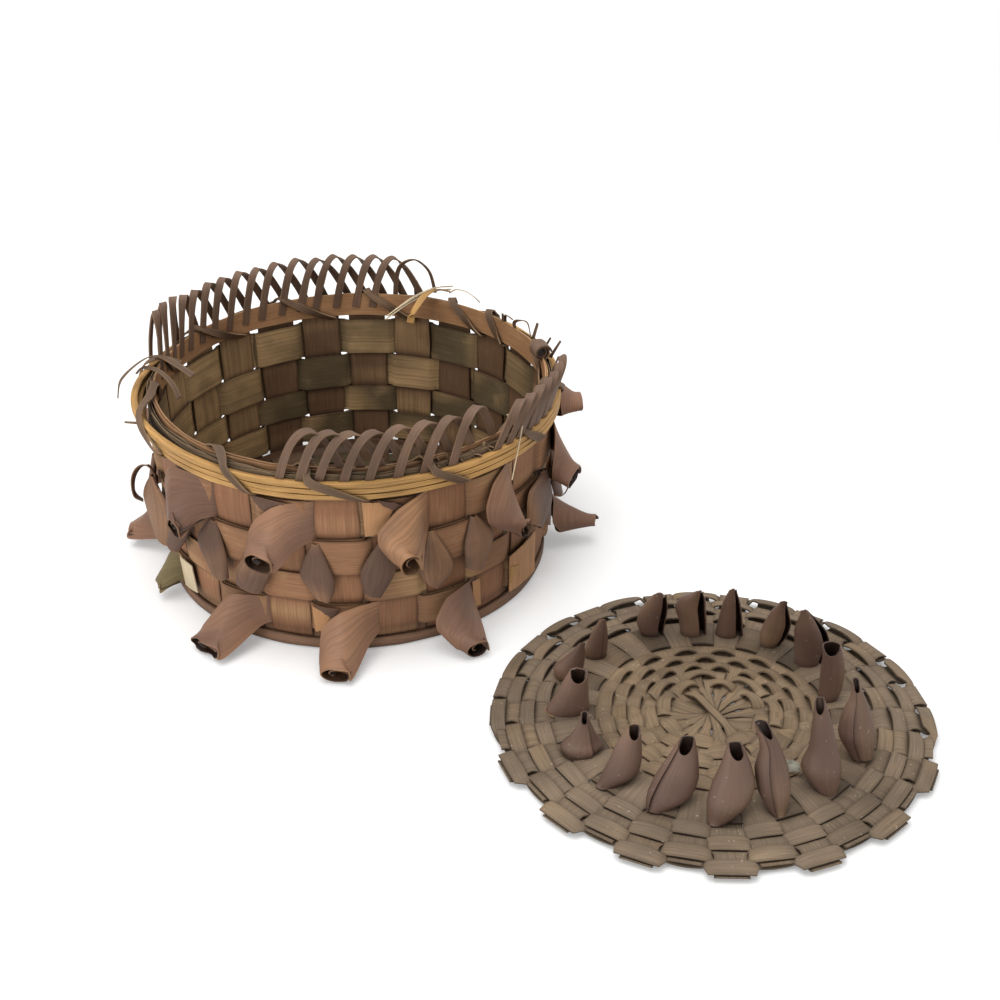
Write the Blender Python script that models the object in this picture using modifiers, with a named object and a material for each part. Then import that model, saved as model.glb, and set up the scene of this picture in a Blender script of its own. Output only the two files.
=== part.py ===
"""Plaited splint basket with curled points, and its loose lid laid down beside it.

Metres, +Z up. The basket stands on the ground with its axis on Z. Angles run in
degrees round that axis, and a piece's outward side is away from it.
"""
import math

import bmesh
import bpy
from mathutils import Vector

# Splint stock
SPLINT = 0.0007
CLEAR = 0.0003
LAYER = SPLINT + CLEAR

# Through splints of the basket: each has two arms, and each arm is slit into two uprights
ARMS = 12
UPRIGHTS = 2 * ARMS
UPRIGHT_SHARE = 0.788
WAIST_WIDTH = 0.008
ARM_GAP = 0.0008
RAMP_LENGTH = 0.010
SLIT_RADIUS = 0.040
SLIT_LINE = 3
BASE_TAIL_GAP = 0.005
BASE_LEVEL = 0.0030
BEND_RADIUS = 0.0085
BEND_TURNS = (45.0, 90.0)
WALL_TOP_RADIUS = 0.1082
WALL_FLARE = 0.0022

# Weavers: rounds on the base, and four wide rows up the wall from the lowest
BASE_ROUND_WIDTH = 0.012
BASE_ROUND_GAP = 0.002
BASE_ROUND_SHARE = 0.51
BASE_ROUNDS = 2
ROW_HEIGHTS = (0.0180, 0.0167, 0.0212, 0.0222)
ROW_GAP = 0.0008
CURL_ROWS = {"curl_band_lower": 0, "curl_band_upper": 3}
LEAF_ROW = 2
EDGE_MARGIN = 0.0006
SLOT_HEIGHT = 0.0030

# Hoops
FOOT_HOOP_THICK = 0.0028
FOOT_HOOP_HEIGHT = 0.0044
FOOT_HOOP_INSET = FOOT_HOOP_THICK / 4
INNER_HOOP_THICK = 0.0015
INNER_HOOP_HEIGHT = 0.0145
FILLER_THICK = 0.00125
UPRIGHT_TUCK = 0.0040
OUTER_STRIP_THICK = 0.0046
OUTER_STRIP_HEIGHT = 0.0029
OUTER_STRIPS = 3

# Lashing that winds round the rim hoops, one turn for each arm
LASHING_FILL = 0.44
LASHING_CLEAR = 0.0007
LASHING_RISE_FRONT = 16.5
LASHING_RISE_BACK = 19.5
BACK_HALF = (20.0, 190.0)

# Looped edging: a flat splint coiled along the rim
LOOP_FILL = 0.37
LOOP_HEIGHT = 0.0310
LOOP_PITCH = 6.0
LOOP_HALF_SPAN = 1.5 * LOOP_PITCH
LOOP_STEPS = 7
LOOP_BULGE = 0.0050
LOOP_BULGE_POWER = 3
LOOP_BULGE_SOFTNESS = 0.25
LOOP_ARCH_POWER = 0.8
LOOP_LEG_OFFSET = 0.75 * SPLINT
LOOP_LEG_SHARE = 0.5
LOOP_RAIL_HEIGHT = 0.0040
LOOP_FOOT_SHARE = 0.55
LOOP_RUNS = {
    "loop_edging_front": (258.0, 10),
    "loop_edging_right": (336.0, 5),
    "loop_edging_back": (75.0, 17),
}

# Curled points of the wall: each is a wide flat roll at its base and a narrow round one at its mouth
CURL_HALF_WIDTH = 0.0120
CURL_HALF_DEPTH = 0.0050
CURL_STAND_OFF = 0.0072
CURL_SLOPE = 0.28
CURL_MOUTH_RADIUS = 0.0060
CURL_MOUTH_SIDE = -0.0020
UPPER_MOUTH_OUT = 0.0200
UPPER_MOUTH_HEIGHT = 0.0640
LOWER_MOUTH_OUT = 0.0270
LOWER_MOUTH_HEIGHT = 0.0080
CURL_BASE_TURN = 260.0
CURL_MOUTH_TURN = 330.0

# Rolled leaves between the curls
LEAF_SIDE = 0.0116
LEAF_LEAN = 0.0020
LEAF_TOP_HALF_WIDTH = 0.0040
LEAF_HALF_WIDTH = 0.0080
LEAF_HALF_DEPTH = 0.0036
LEAF_TOP_DEPTH_SHARE = 0.7
LEAF_LENGTH = 0.0300
LEAF_FLARE = 0.0025
LEAF_BAND_HEIGHT = 0.0120
LEAF_TURN = 290.0

# Lid
LID_X = 0.1850
LID_Y = -0.1687
LID_TURN = -1.8
LID_RADIUS = 0.1085
LID_ARMS = 16
LID_SPOKES = 2 * LID_ARMS
LID_WAVE = 0.0023
LID_RISE = 0.0030
LID_WAIST = 0.0036
LID_SLIT_LINE = 4
LID_SPOKE_SHARE = 0.5
LID_BEND_SHARE = 0.65
LID_PILE_SLIT = LID_WAIST / 3
LID_ROUND_WIDTH = 0.0060
LID_ROUND_GAP = 0.0012
LID_FIRST_ROUND = 0.0205
LID_ARM_ROUNDS = 2
LID_INNER_ROUNDS = 5
LID_EDGE_ROUNDS = 4
LID_CURL_HALF_WIDTH = 0.0090
LID_CURL_HALF_DEPTH = 0.0068
LID_CURL_TIP_RADIUS = 0.0022
LID_CURL_HEIGHT = 0.0275
LID_CURL_LEAN = 0.0060
LID_CURL_TURN = 300.0

# Where a roll starts, how finely it is bent, and how much its inner end is drawn in
ROLL_START = -100.0
ROLL_STEPS = 7
ROLL_SPIRAL = 0.0010

# Sizes that follow from those above
UPRIGHT_STEP = 360.0 / UPRIGHTS
WALL_FOOT_RADIUS = WALL_TOP_RADIUS - WALL_FLARE
BASE_ROUND_START = BASE_ROUND_SHARE * WALL_FOOT_RADIUS
FACET_WIDTH = 2 * WALL_FOOT_RADIUS * math.tan(math.radians(UPRIGHT_STEP / 2))
UPRIGHT_WIDTH = UPRIGHT_SHARE * FACET_WIDTH
BEND_TOP = BASE_LEVEL + BEND_RADIUS
ROW_START = BEND_TOP + ROW_GAP / 2
ROW_TOP = ROW_START + sum(ROW_HEIGHTS) + ROW_GAP * (len(ROW_HEIGHTS) - 1)
RIM_BOTTOM = ROW_TOP + SLOT_HEIGHT
RIM_TOP = RIM_BOTTOM + INNER_HOOP_HEIGHT
UPRIGHT_TOP = RIM_BOTTOM + UPRIGHT_TUCK
INNER_HOOP_FACE = WALL_TOP_RADIUS - SPLINT / 2 - CLEAR
INNER_HOOP_MID = INNER_HOOP_FACE - INNER_HOOP_THICK / 2
FILLER_MID = WALL_TOP_RADIUS + SPLINT / 2 + CLEAR + FILLER_THICK / 2
OUTER_STRIP_FACE = FILLER_MID + FILLER_THICK / 2 + CLEAR
OUTER_STRIP_MID = OUTER_STRIP_FACE + OUTER_STRIP_THICK / 2
OUTER_STRIP_TOP = RIM_BOTTOM + OUTER_STRIPS * (OUTER_STRIP_HEIGHT + CLEAR)
LOOP_RADIUS = (INNER_HOOP_FACE + OUTER_STRIP_FACE) / 2
LOOP_SPACING = math.radians(LOOP_PITCH) * LOOP_RADIUS
LOOP_WIDTH = LOOP_FILL * LOOP_SPACING
LASHING_WIDTH = LASHING_FILL * LOOP_SPACING
FLAT_REACH = UPRIGHT_WIDTH / 2 + EDGE_MARGIN
LID_ROUND_STEP = LID_ROUND_WIDTH + LID_ROUND_GAP
LID_SLIT_RADIUS = LID_FIRST_ROUND + LID_ARM_ROUNDS * LID_ROUND_STEP - LID_ROUND_GAP / 4

# Colours and roughness of bare aged ash splint
UPRIGHT_BROWN = (0.235, 0.128, 0.075)
WEAVER_BROWN = (0.250, 0.165, 0.100)
CURL_BROWN = (0.150, 0.085, 0.062)
HOOP_TAN = (0.560, 0.340, 0.150)
RIM_BROWN = (0.240, 0.150, 0.090)
LASHING_GREY = (0.150, 0.110, 0.080)
LOOP_BROWN = (0.120, 0.080, 0.062)
LID_GREY = (0.110, 0.080, 0.058)
LID_CURL_RED = (0.130, 0.062, 0.045)
SPLINT_ROUGHNESS = 0.7


def clear_scene():
    for old in list(bpy.data.objects):
        bpy.data.objects.remove(old, do_unlink=True)


def new_collection(name):
    collection = bpy.data.collections.new(name)
    bpy.context.scene.collection.children.link(collection)
    return collection


def new_material(name, colour):
    material = bpy.data.materials.new(name)
    material.use_nodes = True
    shader = material.node_tree.nodes["Principled BSDF"]
    shader.inputs["Base Color"].default_value = (*colour, 1.0)
    shader.inputs["Roughness"].default_value = SPLINT_ROUGHNESS
    shader.inputs["Metallic"].default_value = 0.0
    return material


def outward(angle):
    turn = math.radians(angle)
    return Vector((math.cos(turn), math.sin(turn), 0.0))


def along(angle):
    turn = math.radians(angle)
    return Vector((-math.sin(turn), math.cos(turn), 0.0))


def flat_point(angle, radius, side, height):
    """A point on the flat that faces an angle, some way along it and up it."""
    return outward(angle) * radius + along(angle) * side + Vector((0.0, 0.0, height))


def flat_angle(angle):
    """The direction that the nearest upright faces."""
    return round(angle / UPRIGHT_STEP) * UPRIGHT_STEP


def facet_radius(angle, radius):
    """How far out a many-sided hoop lies at an angle, when its flats lie at a radius."""
    return radius / math.cos(math.radians(angle - flat_angle(angle)))


def wall_radius(height):
    share = (height - BEND_TOP) / (RIM_BOTTOM - BEND_TOP)
    share = min(max(share, 0.0), 1.0)
    return WALL_FOOT_RADIUS + (WALL_TOP_RADIUS - WALL_FOOT_RADIUS) * share


def add_ribbon(mesh, lines, closed=False):
    """Draws one cross line as edges, and extrudes it from line to line."""
    verts = [mesh.verts.new(point) for point in lines[0]]
    edges = [mesh.edges.new(pair) for pair in zip(verts, verts[1:])]
    first = edges
    for line in lines[1:]:
        made = bmesh.ops.extrude_edge_only(mesh, edges=edges)["geom"]
        new_verts = [item for item in made if isinstance(item, bmesh.types.BMVert)]
        partner = {}
        for vert in new_verts:
            for edge in vert.link_edges:
                other = edge.other_vert(vert)
                if other in verts:
                    partner[other] = vert
        verts = [partner[old] for old in verts]
        for vert, point in zip(verts, line):
            vert.co = point
        edges = [mesh.edges.get(pair) for pair in zip(verts, verts[1:])]
    if closed:
        bmesh.ops.bridge_loops(mesh, edges=first + edges)


def new_object(name, ribbons, collection, material, closed=False, thickness=SPLINT, parent=None):
    """Makes one object of open ribbons and gives them their thickness."""
    mesh = bmesh.new()
    for lines in ribbons:
        add_ribbon(mesh, lines, closed)
    data = bpy.data.meshes.new(name)
    mesh.to_mesh(data)
    mesh.free()
    piece = bpy.data.objects.new(name, data)
    piece.data.materials.append(material)
    collection.objects.link(piece)
    piece.parent = parent
    piece.modifiers.new("folds", "TRIANGULATE")
    solidify = piece.modifiers.new("thickness", "SOLIDIFY")
    solidify.thickness = thickness
    solidify.offset = 0.0
    solidify.use_even_offset = True
    return piece


def join_guide(piece, guide):
    """Joins the rolls of a guide object to the band that they grow out of."""
    guide.hide_render = True
    guide.display_type = "WIRE"
    union = piece.modifiers.new("rolls", "BOOLEAN")
    union.operation = "UNION"
    union.solver = "EXACT"
    union.object = guide


def arm_line(angle, radius, width, middle, height):
    """The cross line of an unslit arm: two edges, and between them the lines of its slit."""
    sides = (-width / 2, -middle / 2, middle / 2, width / 2)
    return [flat_point(angle, radius, side, height) for side in sides]


def tail_line(angle, half_step, radius, width, height):
    """The cross line of the two tails of a slit arm, each square to its own direction."""
    low = [flat_point(angle - half_step, radius, side, height) for side in (-width / 2, width / 2)]
    high = [flat_point(angle + half_step, radius, side, height) for side in (-width / 2, width / 2)]
    return low + high


def split_splint(name, arms, slit_index, collection, material, parent=None):
    """A through splint: its lines run from one end to the other, slit beyond a line on each arm."""
    near, far = arms
    lines = [line[::-1] for line in near[:0:-1]] + far
    slit_before = len(near) - 1 - slit_index
    slit_after = len(near) - 1 + slit_index
    mesh = bmesh.new()
    add_ribbon(mesh, lines)
    mesh.faces.ensure_lookup_table()
    columns = len(lines[0]) - 1
    middles = []
    for index, face in enumerate(mesh.faces):
        row, column = divmod(index, columns)
        if column == 1 and (row < slit_before or row >= slit_after):
            middles.append(face)
    bmesh.ops.delete(mesh, geom=middles, context="FACES")
    data = bpy.data.meshes.new(name)
    mesh.to_mesh(data)
    mesh.free()
    piece = bpy.data.objects.new(name, data)
    piece.data.materials.append(material)
    collection.objects.link(piece)
    piece.parent = parent
    solidify = piece.modifiers.new("thickness", "SOLIDIFY")
    solidify.thickness = SPLINT
    solidify.offset = 0.0
    return piece


def base_tail_width(radius):
    return math.radians(UPRIGHT_STEP) * radius - BASE_TAIL_GAP


def basket_arm(angle, level):
    """Cross lines of one arm, from the middle of the base, up the wall and into the rim."""
    half_step = UPRIGHT_STEP / 2
    spread = 2 * math.tan(math.radians(UPRIGHT_STEP))
    pile_radius = (WAIST_WIDTH + ARM_GAP) / spread
    ramp_end = pile_radius + RAMP_LENGTH
    slit_width = base_tail_width(SLIT_RADIUS)
    slit_middle = 2 * SLIT_RADIUS * math.sin(math.radians(half_step)) - slit_width
    lines = [
        arm_line(angle, 0.0, WAIST_WIDTH, slit_middle, level),
        arm_line(angle, pile_radius, WAIST_WIDTH, slit_middle, level),
        arm_line(angle, ramp_end, spread * ramp_end - ARM_GAP, slit_middle, BASE_LEVEL),
        tail_line(angle, half_step, SLIT_RADIUS, slit_width, BASE_LEVEL),
    ]
    bend_centre = WALL_FOOT_RADIUS - BEND_RADIUS
    foot_width = min(base_tail_width(bend_centre), UPRIGHT_WIDTH)
    lines.append(tail_line(angle, half_step, bend_centre, foot_width, BASE_LEVEL))
    for turn in BEND_TURNS:
        radius = bend_centre + BEND_RADIUS * math.sin(math.radians(turn))
        height = BEND_TOP - BEND_RADIUS * math.cos(math.radians(turn))
        lines.append(tail_line(angle, half_step, radius, UPRIGHT_WIDTH, height))
    lines.append(tail_line(angle, half_step, WALL_TOP_RADIUS, UPRIGHT_WIDTH, RIM_BOTTOM))
    lines.append(tail_line(angle, half_step, WALL_TOP_RADIUS, UPRIGHT_WIDTH, UPRIGHT_TOP))
    return lines


def build_basket_splints(collection):
    material = new_material("upright_splint", UPRIGHT_BROWN)
    for index in range(ARMS // 2):
        angle = UPRIGHT_STEP / 2 + 2 * UPRIGHT_STEP * index
        level = SPLINT / 2 + LAYER * index
        arms = [basket_arm(angle, level), basket_arm(angle + 180.0, level)]
        split_splint(f"basket_splint_{index + 1}", arms, SLIT_LINE, collection, material)


def hoop_line(corner, radius, low, high):
    angle = UPRIGHT_STEP * (corner + 0.5)
    reach = facet_radius(angle, radius)
    return [outward(angle) * reach + Vector((0.0, 0.0, height)) for height in (low, high)]


def build_hoop(name, radius, thickness, low, high, collection, material):
    lines = [hoop_line(corner, radius, low, high) for corner in range(UPRIGHTS)]
    return new_object(name, [lines], collection, material, closed=True, thickness=thickness)


def base_round_lines(start, first_over):
    """A round that passes over and under the uprights' tails in turn."""
    end = start + BASE_ROUND_WIDTH
    half = math.degrees((base_tail_width(end) / 2 + EDGE_MARGIN) / end)
    lines = []
    for upright in range(UPRIGHTS):
        over = upright % 2 == first_over
        height = BASE_LEVEL + (LAYER if over else -LAYER)
        for side in (-half, half):
            direction = outward(upright * UPRIGHT_STEP + side)
            lines.append([direction * radius + Vector((0.0, 0.0, height)) for radius in (start, end)])
    return lines


def build_base_rounds(collection):
    material = new_material("base_weaver", WEAVER_BROWN)
    for index in range(BASE_ROUNDS):
        start = BASE_ROUND_START + index * (BASE_ROUND_WIDTH + BASE_ROUND_GAP)
        name = f"base_weaver_{index + 1}"
        new_object(name, [base_round_lines(start, index % 2)], collection, material, closed=True)


def row_span(row):
    """Lowest and highest point of a row, counted from the lowest row."""
    low = ROW_START + sum(ROW_HEIGHTS[:row]) + ROW_GAP * row
    return low, low + ROW_HEIGHTS[row]


def wall_point(angle, side, out, height):
    return flat_point(angle, wall_radius(height) + out, side, height)


def band_lines(low, high, layer_at):
    """A band round the wall, flat on each upright, in the layer that layer_at gives there."""
    lines = []
    for upright in range(UPRIGHTS):
        depth = layer_at(upright) * LAYER
        for side in (-FLAT_REACH, FLAT_REACH):
            lines.append([wall_point(upright * UPRIGHT_STEP, side, depth, z) for z in (low, high)])
    return lines


def outer_parity(row):
    """Uprights of this parity show outside in a row: 0 for every second one from the first."""
    return (row + 1) % 2


def build_wall_weavers(collection):
    material = new_material("wall_weaver", WEAVER_BROWN)
    with_overlay = (*CURL_ROWS.values(), LEAF_ROW)
    for row in range(len(ROW_HEIGHTS)):
        low, high = row_span(row)
        under = -2 if row in with_overlay else -1
        parity = outer_parity(row)
        lines = band_lines(low, high, lambda k: under if k % 2 == parity else 1)
        new_object(f"wall_weaver_{row + 1}", [lines], collection, material, closed=True)


def oval(centre, axes, halves, turned):
    """A point of a roll round a centre; it turns from the right, outward and to the left."""
    angle = math.radians(turned + ROLL_START)
    inward = ROLL_SPIRAL * turned / 360.0
    out = axes[0] * math.cos(angle) * (halves[0] - inward)
    across = axes[1] * math.sin(angle) * (halves[1] - inward)
    return centre + out + across


def roll_axes(angle, axis):
    """Outward and leftward directions square to a roll's axis."""
    axis = axis.normalized()
    out = outward(angle)
    out = (out - axis * out.dot(axis)).normalized()
    return out, axis.cross(out).normalized()


def wall_curl(angle, low, high, mouth_out, mouth_height):
    """A point: the strip leaves the wall on the right, and rolls up towards the left as it drops."""
    base = wall_point(angle, 0.0, CURL_STAND_OFF, high)
    mouth = wall_point(angle, CURL_MOUTH_SIDE, mouth_out, mouth_height)
    base_axes = (outward(angle), -along(angle))
    mouth_axes = roll_axes(angle, mouth - base)
    inset = 2 * CLEAR
    root = []
    for height in (high - inset, low + inset):
        on_weaver = wall_point(angle, FLAT_REACH, 2 * LAYER, height)
        under_upright = wall_point(angle + UPRIGHT_STEP, -FLAT_REACH, -LAYER, height)
        root.append((on_weaver + under_upright) / 2)
    lines = [root]
    for step in range(ROLL_STEPS + 1):
        share = step / ROLL_STEPS
        top = oval(base, base_axes, (CURL_HALF_DEPTH, CURL_HALF_WIDTH), CURL_BASE_TURN * share)
        side = (top - base).dot(along(angle))
        top.z -= inset + CURL_SLOPE * (CURL_HALF_WIDTH - side)
        radii = (CURL_MOUTH_RADIUS, CURL_MOUTH_RADIUS)
        lines.append([top, oval(mouth, mouth_axes, radii, CURL_MOUTH_TURN * share)])
    return lines


def build_curl_bands(collection, guides):
    material = new_material("curled_splint", CURL_BROWN)
    for name, row in CURL_ROWS.items():
        low, high = row_span(row)
        parity = outer_parity(row)
        lines = band_lines(low + CLEAR, high - CLEAR, lambda k: -1 if k % 2 == parity else 2)
        band = new_object(name, [lines], collection, material, closed=True)
        lowest = row == CURL_ROWS["curl_band_lower"]
        mouth = (LOWER_MOUTH_OUT, LOWER_MOUTH_HEIGHT) if lowest else (UPPER_MOUTH_OUT, UPPER_MOUTH_HEIGHT)
        curls = []
        for upright in range(1 - parity, UPRIGHTS, 2):
            curls.append(wall_curl(upright * UPRIGHT_STEP, low, high, *mouth))
        guide = new_object(f"{name}_rolls", curls, guides, material, thickness=SPLINT - CLEAR / 2)
        join_guide(band, guide)


def wall_leaf(angle, side, low, high):
    """A leaf: it leaves the band beside an upright's middle, and hangs down as a flat roll."""
    base_out = 2 * LAYER + 2 * CLEAR + LEAF_HALF_DEPTH + SPLINT
    base = wall_point(angle, side * LEAF_SIDE, base_out, high - LAYER)
    mouth_side = side * (LEAF_SIDE - LEAF_LEAN)
    mouth = wall_point(angle, mouth_side, base_out + LEAF_FLARE, high - LEAF_LENGTH)
    out, across = roll_axes(angle, mouth - base)
    axes = (out, -across * side)
    inset = 2 * CLEAR
    lift_side = side * (LEAF_SIDE - LEAF_HALF_WIDTH - LAYER)
    lines = [[wall_point(angle, lift_side, 2 * LAYER, z) for z in (high - inset, low + inset)]]
    for step in range(ROLL_STEPS + 1):
        turned = LEAF_TURN * step / ROLL_STEPS
        top = oval(base, axes, (LEAF_HALF_DEPTH * LEAF_TOP_DEPTH_SHARE, LEAF_TOP_HALF_WIDTH), turned)
        lines.append([top, oval(mouth, axes, (LEAF_HALF_DEPTH, LEAF_HALF_WIDTH), turned)])
    return lines


def build_leaf_band(collection, guides):
    material = new_material("leaf_splint", CURL_BROWN)
    high = row_span(LEAF_ROW)[1]
    low = high - LEAF_BAND_HEIGHT
    parity = outer_parity(LEAF_ROW)
    lines = band_lines(low, high, lambda k: -1 if k % 2 == parity else 2)
    band = new_object("leaf_band", [lines], collection, material, closed=True)
    leaves = []
    for upright in range(1 - parity, UPRIGHTS, 2):
        for side in (-1, 1):
            leaves.append(wall_leaf(upright * UPRIGHT_STEP, side, low, high))
    guide = new_object("leaf_band_rolls", leaves, guides, material, thickness=SPLINT - CLEAR / 2)
    join_guide(band, guide)


def build_rim(collection):
    brown = new_material("rim_hoop", RIM_BROWN)
    tan = new_material("rim_strip", HOOP_TAN)
    foot_radius = WALL_FOOT_RADIUS - FOOT_HOOP_INSET
    build_hoop("foot_hoop", foot_radius, FOOT_HOOP_THICK, 0.0, FOOT_HOOP_HEIGHT, collection, brown)
    build_hoop("inner_rim_hoop", INNER_HOOP_MID, INNER_HOOP_THICK, RIM_BOTTOM, RIM_TOP, collection, brown)
    build_hoop("rim_filler", FILLER_MID, FILLER_THICK, RIM_BOTTOM, UPRIGHT_TOP, collection, brown)
    for index in range(OUTER_STRIPS):
        low = RIM_BOTTOM + index * (OUTER_STRIP_HEIGHT + CLEAR)
        high = low + OUTER_STRIP_HEIGHT
        name = f"outer_rim_strip_{index + 1}"
        build_hoop(name, OUTER_STRIP_MID, OUTER_STRIP_THICK, low, high, collection, tan)


def lashing_lines():
    """One turn for each arm: in through a gap in the wall, up inside, over, and down outside."""
    skin = LASHING_CLEAR + SPLINT / 2
    under = RIM_BOTTOM - skin
    inside = INNER_HOOP_FACE - INNER_HOOP_THICK - skin
    outside = OUTER_STRIP_FACE + OUTER_STRIP_THICK + skin
    over_inner = RIM_TOP + skin + CLEAR
    over_outer = OUTER_STRIP_TOP + skin
    lines = []
    for turn in range(ARMS):
        gap = UPRIGHT_STEP / 2 + 2 * UPRIGHT_STEP * turn
        in_back = BACK_HALF[0] < gap < BACK_HALF[1]
        rise = LASHING_RISE_BACK if in_back else LASHING_RISE_FRONT
        stations = (
            (-0.5, outside - SPLINT, under),
            (0.5, inside + SPLINT, under),
            (1.5, inside, under + LAYER),
            (rise - 2.5, inside, over_inner - LAYER),
            (rise - 1.2, INNER_HOOP_MID, over_inner),
            (rise - 0.3, INNER_HOOP_FACE + CLEAR, over_inner),
            (rise + 1.2, OUTER_STRIP_MID - LAYER, over_outer + CLEAR),
            (rise + 2.0, outside - LAYER, over_outer),
            (rise + 2.6, outside, over_outer - LAYER),
            (2 * UPRIGHT_STEP - 1.5, outside, under + LAYER),
        )
        for advance, radius, height in stations:
            angle = gap + advance
            reach = facet_radius(angle, radius)
            sides = (-LASHING_WIDTH / 2, LASHING_WIDTH / 2)
            lines.append([flat_point(angle, reach, side, height) for side in sides])
    return lines


def build_lashing(collection):
    material = new_material("lashing_splint", LASHING_GREY)
    new_object("rim_lashing", [lashing_lines()], collection, material, closed=True)


def loop_lines(top_angle):
    """One loop: up outside the rail, over, and down inside it, leaning along the rim."""
    foot = UPRIGHT_TOP + 2 * CLEAR + LOOP_RAIL_HEIGHT * LOOP_FOOT_SHARE
    points = []
    for step in range(LOOP_STEPS + 1):
        turn = math.pi * step / LOOP_STEPS
        angle = top_angle - LOOP_HALF_SPAN * math.cos(turn)
        swing = math.cos(turn) / (abs(math.cos(turn)) + LOOP_BULGE_SOFTNESS)
        out = LOOP_LEG_OFFSET * math.cos(turn) + LOOP_BULGE * swing * math.sin(turn) ** LOOP_BULGE_POWER
        height = foot + LOOP_HEIGHT * math.sin(turn) ** LOOP_ARCH_POWER
        on_leg = math.sin(turn) < LOOP_LEG_SHARE
        radius = facet_radius(angle, LOOP_RADIUS) if on_leg else LOOP_RADIUS
        points.append((angle, turn, outward(angle) * (radius + out) + Vector((0.0, 0.0, height))))
    lines = []
    for index, (angle, turn, point) in enumerate(points):
        before = points[max(index - 1, 0)][2]
        after = points[min(index + 1, LOOP_STEPS)][2]
        facing = outward(flat_angle(angle)) * math.cos(turn) + Vector((0.0, 0.0, math.sin(turn)))
        across = (after - before).cross(facing).normalized() * (LOOP_WIDTH / 2)
        lines.append([point - across, point + across])
    return lines


def build_loop_runs(collection, guides):
    material = new_material("loop_splint", LOOP_BROWN)
    low = UPRIGHT_TOP + 2 * CLEAR
    high = low + LOOP_RAIL_HEIGHT
    margin = math.degrees(LOOP_WIDTH / LOOP_RADIUS)
    for name, (first, count) in LOOP_RUNS.items():
        start = first - LOOP_HALF_SPAN - margin
        end = first + LOOP_PITCH * (count - 1) + LOOP_HALF_SPAN + margin
        corner = math.ceil((start - UPRIGHT_STEP / 2) / UPRIGHT_STEP) * UPRIGHT_STEP + UPRIGHT_STEP / 2
        angles = [start]
        while corner < end:
            angles.append(corner)
            corner += UPRIGHT_STEP
        angles.append(end)
        lines = []
        for angle in angles:
            reach = facet_radius(angle, LOOP_RADIUS)
            lines.append([outward(angle) * reach + Vector((0.0, 0.0, z)) for z in (low, high)])
        rail = new_object(name, [lines], collection, material)
        loops = [loop_lines(first + LOOP_PITCH * index) for index in range(count)]
        guide = new_object(f"{name}_loops", loops, guides, material)
        join_guide(rail, guide)


def lid_height(radius):
    """The level of the lid's spokes, a little higher at the middle than at the edge."""
    edge_level = LID_WAVE + SPLINT
    return edge_level + LID_RISE * (1.0 - (radius / LID_RADIUS) ** 2)


def lid_arm(angle, level):
    half_step = 180.0 / LID_SPOKES
    pile_radius = (LID_WAIST + ARM_GAP) / (2 * math.tan(math.radians(2 * half_step)))
    pitch = math.radians(4 * half_step)
    ramp_end = LID_FIRST_ROUND - LID_ROUND_GAP
    slit_width = LID_SPOKE_SHARE * LID_SLIT_RADIUS * pitch / 2
    slit_middle = 2 * LID_SLIT_RADIUS * math.sin(math.radians(half_step)) - slit_width
    ramp_width = max(LID_SPOKE_SHARE * pitch * ramp_end, LID_WAIST)
    arm_end = LID_SLIT_RADIUS - LID_ROUND_GAP / 2
    lines = [
        arm_line(angle, 0.0, LID_WAIST, LID_PILE_SLIT, level),
        arm_line(angle, pile_radius, LID_WAIST, LID_PILE_SLIT, level),
        arm_line(angle, ramp_end, ramp_width, LID_PILE_SLIT, lid_height(ramp_end)),
        arm_line(angle, arm_end, LID_SPOKE_SHARE * pitch * arm_end, slit_middle, lid_height(arm_end)),
    ]
    for radius in (LID_SLIT_RADIUS, LID_RADIUS * LID_BEND_SHARE, LID_RADIUS):
        width = LID_SPOKE_SHARE * radius * pitch / 2
        lines.append(tail_line(angle, half_step, radius, width, lid_height(radius)))
    return lines


def lid_round_lines(start, end, count, first_over):
    """A round of the lid: a wave that crosses over one spoke and under the next."""
    step = 360.0 / count
    shift = step / 4 if count == LID_ARMS else 0.0
    lines = []
    for spoke in range(count):
        lift = LID_WAVE if spoke % 2 == first_over else -LID_WAVE
        direction = outward(spoke * step + shift)
        lines.append([direction * r + Vector((0.0, 0.0, lid_height(r) + lift)) for r in (start, end)])
    return lines


def lid_curl(angle, band_middle):
    """A point that stands on the lid: a splint rolled up round an upright axis that leans inward."""
    ring_level = lid_height(band_middle) + LID_WAVE
    half_step = math.radians(180.0 / LID_SPOKES) * band_middle
    base = outward(angle) * band_middle
    tip = outward(angle) * (band_middle - LID_CURL_LEAN) + Vector((0.0, 0.0, ring_level + LID_CURL_HEIGHT))
    axes = (outward(angle), -along(angle))
    tip_halves = (LID_CURL_TIP_RADIUS, LID_CURL_TIP_RADIUS)
    lines = []
    for step in range(ROLL_STEPS + 1):
        turned = LID_CURL_TURN * step / ROLL_STEPS
        foot = oval(base, axes, (LID_CURL_HALF_DEPTH, LID_CURL_HALF_WIDTH), turned)
        side = abs((foot - base).dot(along(angle)))
        foot.z = ring_level - LID_WAVE * side / half_step
        lines.append([foot, oval(tip, axes, tip_halves, turned)])
    return lines


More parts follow.
